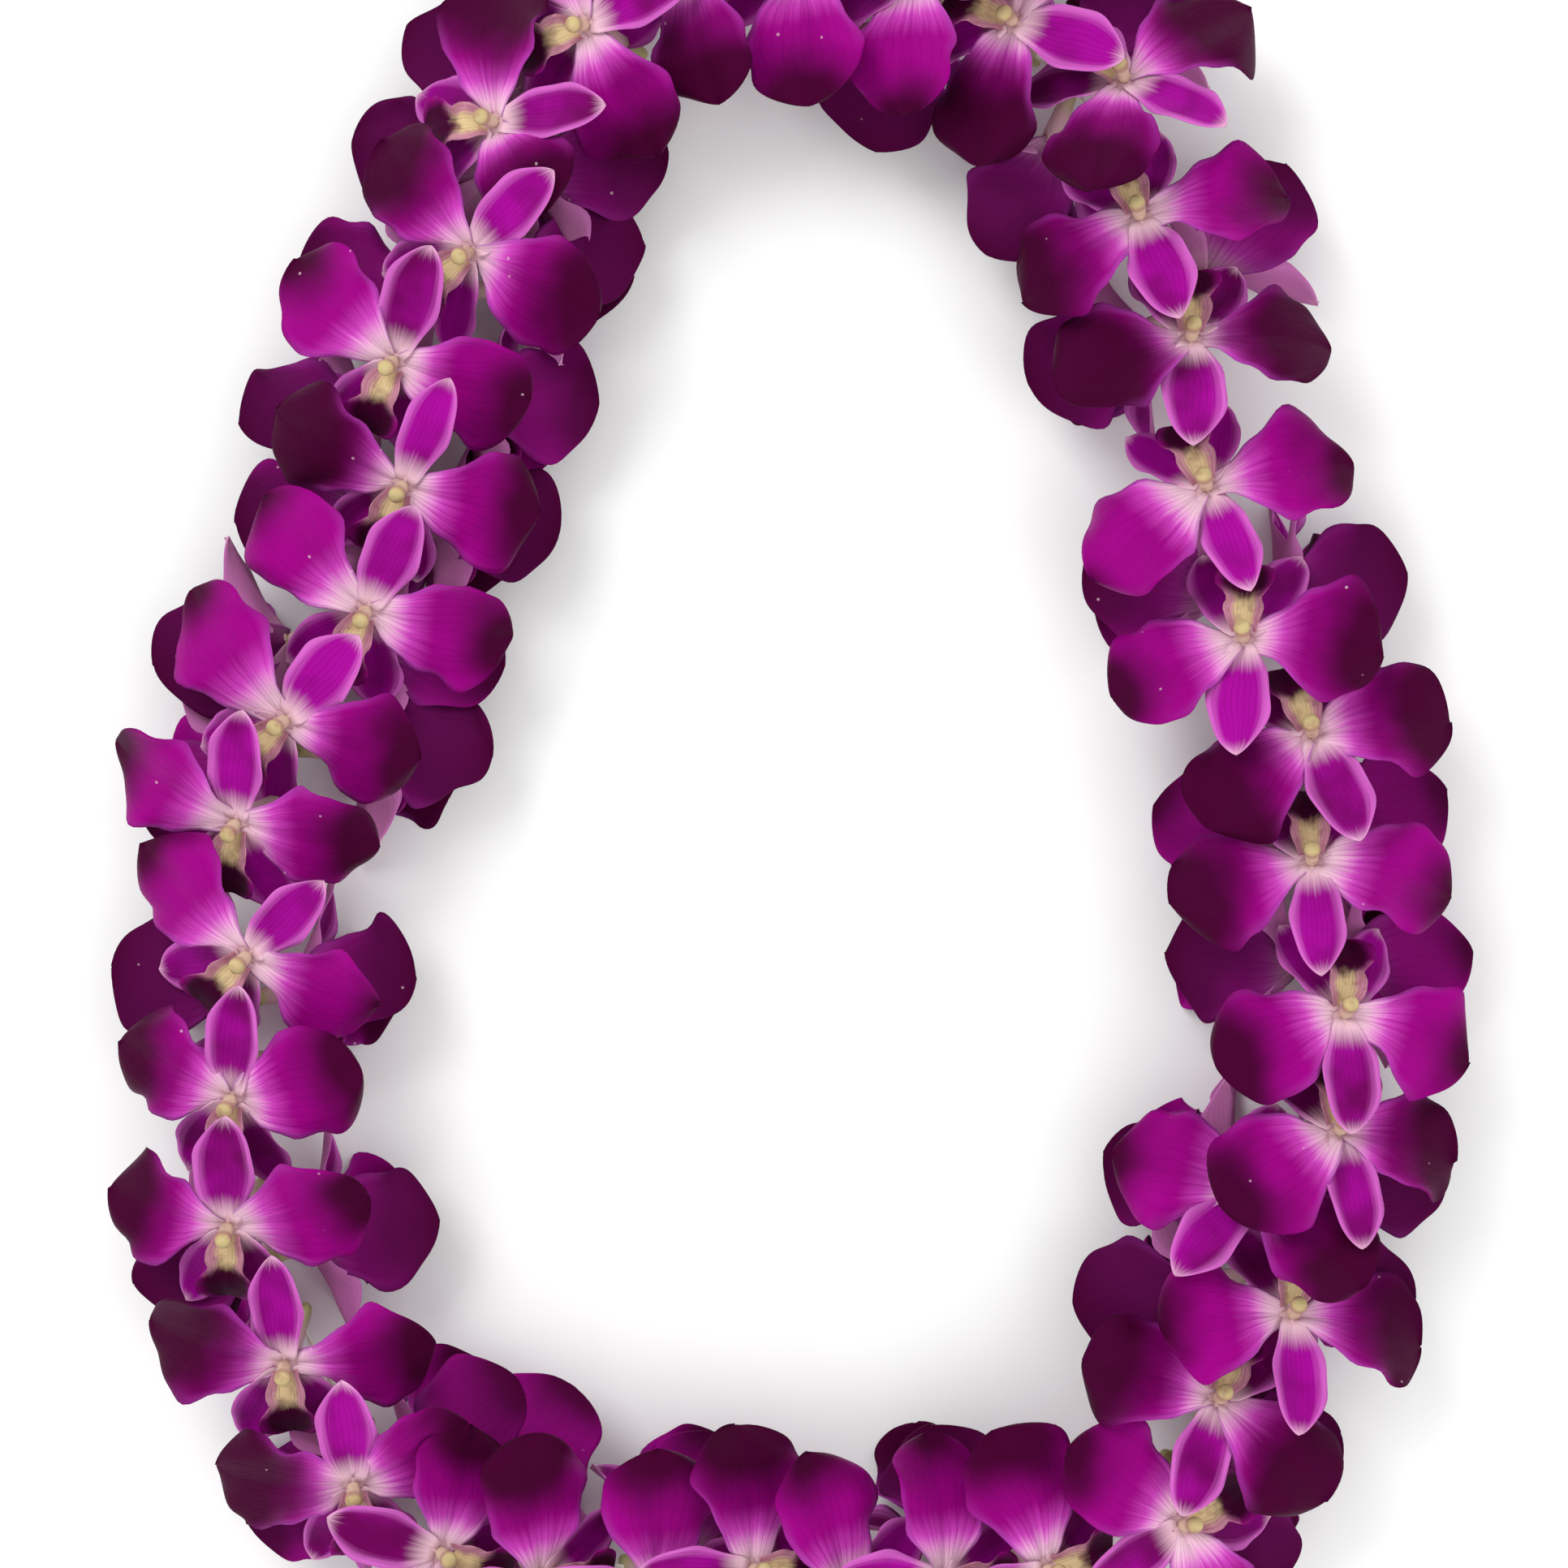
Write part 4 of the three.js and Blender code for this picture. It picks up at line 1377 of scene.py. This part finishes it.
@dataclass(frozen=True)
class PetalFinish(PlantFinish):
    """Petal: a small pale glow at its base, then bright pink, magenta and a painted maroon shadow to the tip.
    """

    name: str = "petal_skin"
    magenta: Colour = (0.28, 0.001, 0.185)
    pink: Accent = Accent((0.70, 0.085, 0.60), (0.34, 0.08))
    pale: Accent = Accent((0.78, 0.52, 0.62), (0.21, 0.04))
    vein: Accent = Accent((0.17, 0.0005, 0.11), (0.9, 0.2), 0.34)
    # Painted shadow: maroon that darkens each petal towards its tip, less at its edges
    painted_shadow: Accent = Accent((0.044, 0.0005, 0.017), (0.24, 0.70))
    # Painted sheen: a lighter violet rim on the base half of each petal, standing for the sky's reflection on
    # its edges
    rim: Accent = Accent((0.36, 0.05, 0.36), (0.8, 1.0), 0.7)
    painted_sheen_reach: Span = (0.6, 0.15)
    behind: Accent = Accent((0.16, 0.008, 0.112), (1.1, 0.1), 0.6)
    # Painted glints: sparse tiny pale specks that stand for highlights
    painted_glints: Accent = Accent((0.78, 0.52, 0.62), (0.14, 0.08), 0.5)
    glint_scale: float = 330
    glint_share: Span = (0.955, 0.96)
    streaks: float = 0.12
    glow_by_tone_and_shade: float = 0.05
    cloud: float = 0.5
    cloud_scale: float = 50
    painted_shadow_by_tone_and_shade: float = 0.42
    painted_shadow_at_edge: float = 0.16

    def colour(self, read: Reading) -> Wire:
        """Colours from the base to the tip, with veins, a painted shadow, a painted sheen on the rim, the
        back and a few pale specks that are painted glints.

        Args:
            read: What is read on the petal.

        Returns:
            The colour.
        """
        # The tone and shade value holds the random tone and, on side blooms, a painted shade that keeps the
        # pale glow smaller and deepens the painted shadow
        glow = read.along + read.streaks.swing(self.streaks) + read.tone * self.glow_by_tone_and_shade
        painted_shadow = read.along + read.cloud(self.cloud_scale).swing(self.cloud) + read.tone * self.painted_shadow_by_tone_and_shade
        colour = self.pink.over(self.magenta, glow)
        colour = self.pale.over(colour, glow)
        colour = self.vein.over(colour, read.along, read.veins)
        # Painted shadow towards the tip, lighter at the edges
        colour = self.painted_shadow.over(colour, painted_shadow - read.edge**3 * self.painted_shadow_at_edge)
        # Painted sheen along the rim, on the base half
        colour = self.rim.over(colour, read.edge, read.along.step(self.painted_sheen_reach))
        colour = self.behind.over(colour, read.along, read.back)
        # Painted glints: a few pale specks in sparse cells
        cells = read.bench.cells(self.glint_scale)
        distance, chance = (Wire(read.bench, cells.outputs[name]) for name in ("Distance", "Color"))
        chance = read.bench.wire("ShaderNodeSeparateXYZ", 0, {0: chance})
        return self.painted_glints.over(colour, distance, chance.step(self.glint_share))


@dataclass(frozen=True)
class SepalFinish(PlantFinish):
    """Sepal: bright magenta, paler towards its margins and tip, pale at the very base."""

    name: str = "sepal_skin"
    core: Colour = (0.34, 0.003, 0.275)
    deep: Accent = Accent((0.12, 0.001, 0.070), (0.3, 0.85))
    vein: Accent = Accent((0.12, 0.001, 0.070), depth=0.36)
    margin: Accent = Accent((0.63, 0.14, 0.54), (0.54, 1.03), 0.9)
    tip: Accent = Accent((0.84, 0.50, 0.66), (0.74, 1.02), 0.8)
    base: Accent = Accent((0.76, 0.50, 0.58), (0.21, 0.02))
    behind: Accent = Accent((0.50, 0.18, 0.38), depth=0.7)
    streaks: float = 0.3
    base_streaks: float = 0.4
    cloud_scale: float = 80
    deep_by_tone_and_shade: float = 0.3

    def colour(self, read: Reading) -> Wire:
        """Clouded core, with veins, margin, tip, base and back.

        Args:
            read: What is read on the sepal.

        Returns:
            The colour.
        """
        streaks = read.streaks.swing(self.streaks)
        # On side blooms the tone and shade value adds a painted shade that darkens the clouded core
        colour = self.deep.over(self.core, read.cloud(self.cloud_scale) + read.tone * self.deep_by_tone_and_shade)
        colour = self.vein.over(colour, read.veins)
        colour = self.margin.over(colour, read.edge + streaks)
        colour = self.tip.over(colour, read.along + streaks)
        colour = self.base.over(colour, read.along - streaks * self.base_streaks)
        return self.behind.over(colour, read.back)


@dataclass(frozen=True)
class LipFinish(PlantFinish):
    """Lip: striped cream throat with blushing flanks, a blackish maroon middle lobe with a magenta border."""

    name: str = "lip_skin"
    dark: Colour = (0.045, 0.001, 0.020)
    border: Accent = Accent((0.26, 0.004, 0.17), (0.6, 1.0))
    cream: Accent = Accent((0.66, 0.52, 0.27), (0.44, 0.26))
    blush: Accent = Accent((0.55, 0.24, 0.33), (0.3, 0.75))
    stripe: Accent = Accent((0.22, 0.06, 0.05), depth=0.6)
    throat: Span = (0.5, 0.3)
    striped: Span = (0.05, 0.3)
    blotched: Span = (0.5, 0.68)
    blotches: float = 0.5
    streaks: float = 0.1
    cloud: float = 0.16
    cloud_scale: float = 420
    flank_cloud: float = 0.5

    def colour(self, read: Reading) -> Wire:
        """Dark middle lobe with its border, and the throat with blush, stripes and blotches.

        Args:
            read: What is read on the lip.

        Returns:
            The colour.
        """
        cloud = read.cloud(self.cloud_scale)
        reach = read.along + cloud.swing(self.cloud) + read.streaks.swing(self.streaks)
        throat = reach.step(self.throat)
        colour = self.border.over(self.dark, read.edge)
        colour = self.cream.over(colour, reach)
        colour = self.blush.over(colour, read.edge + cloud.swing(self.flank_cloud), throat)
        blotches = cloud.step(self.blotched) * self.blotches
        stripes = read.bench.math("MAXIMUM", read.veins * read.edge.step(self.striped), blotches)
        return self.stripe.over(colour, stripes, throat)


@dataclass(frozen=True)
class ColumnFinish(PlantFinish):
    """Column: cream with an olive cap and a brownish flush round its hood."""

    name: str = "column_skin"
    gleam: Colour = (1.0, 0.95, 0.8)
    cream: Colour = (0.62, 0.47, 0.34)
    cap: Accent = Accent((0.54, 0.43, 0.21), (0.6, 0.85))
    hood: Accent = Accent((0.30, 0.12, 0.10), (0.5, 0.66), 0.55)
    hood_end: Span = (0.86, 0.72)
    freckles: Accent = Accent((0.30, 0.12, 0.10), (0.48, 0.72), 0.5)
    freckle_scale: float = 300

    def colour(self, read: Reading) -> Wire:
        """Cream, with cap, hood and freckles.

        Args:
            read: What is read on the column.

        Returns:
            The colour.
        """
        colour = self.cap.over(self.cream, read.along)
        colour = self.hood.over(colour, read.along, read.along.step(self.hood_end))
        return self.freckles.over(colour, read.cloud(self.freckle_scale))


@dataclass(frozen=True)
class FootFinish(PlantFinish):
    """Hub, ovary and stalk: creamy pink that turns greenish towards the cut end."""

    name: str = "foot_skin"
    gleam: Colour = (1.0, 0.8, 0.85)
    green: Colour = (0.40, 0.38, 0.17)
    pink: Accent = Accent((0.62, 0.38, 0.41), (0.3, 0.75))
    cloud: float = 0.3
    cloud_scale: float = 180

    def colour(self, read: Reading) -> Wire:
        """Green that turns pink towards the hub, unevenly."""
        cloud = read.cloud(self.cloud_scale, detail=3) * self.cloud
        return self.pink.over(self.green, read.along + cloud)


@dataclass(frozen=True)
class CottonFinish:
    """Undyed cotton: matt, with fine fibres along the twist and a little grime."""

    light: Colour = (0.80, 0.76, 0.66)
    shade: Accent = Accent((0.55, 0.49, 0.38), (0.4, 0.7))
    patches: Span = (0.3, 0.8)
    patch_scale: float = 120
    fibre_scale: float = 2600
    sheen: float = 0.3
    roughness: float = 0.75
    roughness_swing: float = 0.2
    relief: float = 0.5
    relief_height: float = 0.0003

    def material(self) -> bpy.types.Material:
        """Makes the cotton's material.

        Returns:
            The material.
        """
        material, bench, shader = new_material("cotton_fibre")
        fibres = bench.noise(bench.coords(), self.fibre_scale, detail=3)
        patches = bench.noise(bench.coords(), self.patch_scale).step(self.patches)
        bench.feed(shader, {
            "Sheen Weight": self.sheen,
            "Base Color": self.shade.over(self.light, fibres, patches),
            "Roughness": fibres * self.roughness_swing + self.roughness,
            "Normal": bench.bump(Distance=self.relief_height, Strength=self.relief, Height=fibres),
        })
        return material


@dataclass
class Studio:
    """Plain pale floor, soft light from all round, and the camera straight above."""

    lens: float = 85.0
    sensor: float = 36.0
    focus_height: float = 0.03
    floor_size: float = 16.0
    floor_cells: int = 8
    floor_colour: Colour = (0.93, 0.93, 0.93)
    floor_roughness: float = 0.9
    floor_specular: float = 0.1
    sky_colour: Colour = (1, 1, 1)
    sky: float = 0.97
    # Name, place in metres, size and power of each lamp
    lamps: tuple[tuple[str, Colour, float, float], ...] = (
        ("key_lamp", (-0.75, 0.8, 1.3), 0.8, 11.0),
        ("fill_lamp", (1.0, -0.5, 1.2), 1.0, 4.0),
        ("low_lamp", (0.0, -1.3, 0.9), 1.0, 2.0),
    )

    def build(self) -> None:
        """Makes the floor, the lights and the camera."""
        self._floor()
        self._lights()
        self._camera()

    def _floor(self) -> None:
        """Large flat floor that the lei lies on."""
        form = bmesh.new()
        cells = self.floor_cells
        bmesh.ops.create_grid(form, x_segments=cells, y_segments=cells, size=self.floor_size / 2)
        material, bench, shader = new_material("floor_paint")
        bench.feed(shader, {
            "Base Color": self.floor_colour,
            "Roughness": self.floor_roughness,
            "Specular IOR Level": self.floor_specular,
        })
        floor = new_piece("floor", form, [material])

    def _lights(self) -> None:
        """Even sky and three large soft lamps."""
        world = bpy.data.worlds.new("studio_sky")
        world.use_nodes = True
        sky = world.node_tree.nodes["Background"]
        NodeBench(world.node_tree).feed(sky, {"Color": self.sky_colour, "Strength": self.sky})
        bpy.context.scene.world = world
        for name, spot, size, power in self.lamps:
            data = bpy.data.lights.new(name, "AREA")
            data.size = size
            data.energy = power
            lamp = linked(name, data)
            lamp.location = spot
            lamp.rotation_euler = (-Vector(spot)).to_track_quat("-Z", "Y").to_euler()

    def _camera(self) -> None:
        """Camera that looks straight down and takes in the photograph's square."""
        data = bpy.data.cameras.new("camera")
        data.lens = self.lens
        data.sensor_width = self.sensor
        data.sensor_height = self.sensor
        frame_width = PHOTO_WIDTH * MM_PER_PIXEL * MM
        camera = linked("camera", data)
        middle = -RING_MIDDLE * MM
        camera.location = (middle[0], middle[1], self.focus_height + frame_width * self.lens / self.sensor)
        bpy.context.scene.camera = camera
        bpy.context.scene.view_settings.view_transform = "Standard"


def main() -> None:
    """Builds the whole lei and its studio, and reports each piece."""
    logging.basicConfig(level=logging.INFO)
    Studio().build()
    layout = LeiLayout()
    groups = SharedGroups()
    finishes = (PetalFinish, SepalFinish, LipFinish, ColumnFinish, FootFinish)
    maker = BloomMaker([finish(groups).material() for finish in finishes])
    pieces = [
        maker.make(f"upper_orchid_{number:02d}", f"upper_bloom_{number:02d}", [place])
        for number, place in enumerate(layout.uppers, 1)
    ]
    pieces += [
        maker.make(f"side_orchids_{index + 1:02d}", f"side_blooms_{index + 1:02d}", layout.side_pair(index))
        for index in range(len(SIDE_PAIRS))
    ]
    pieces.append(CottonString(layout.route, layout.share_after(KNOT_BLOOM)).make(CottonFinish().material()))
    for piece in pieces:
        LOG.info("made %s with %d faces", piece.name, len(piece.data.polygons))


if __name__ == "__main__":
    main()
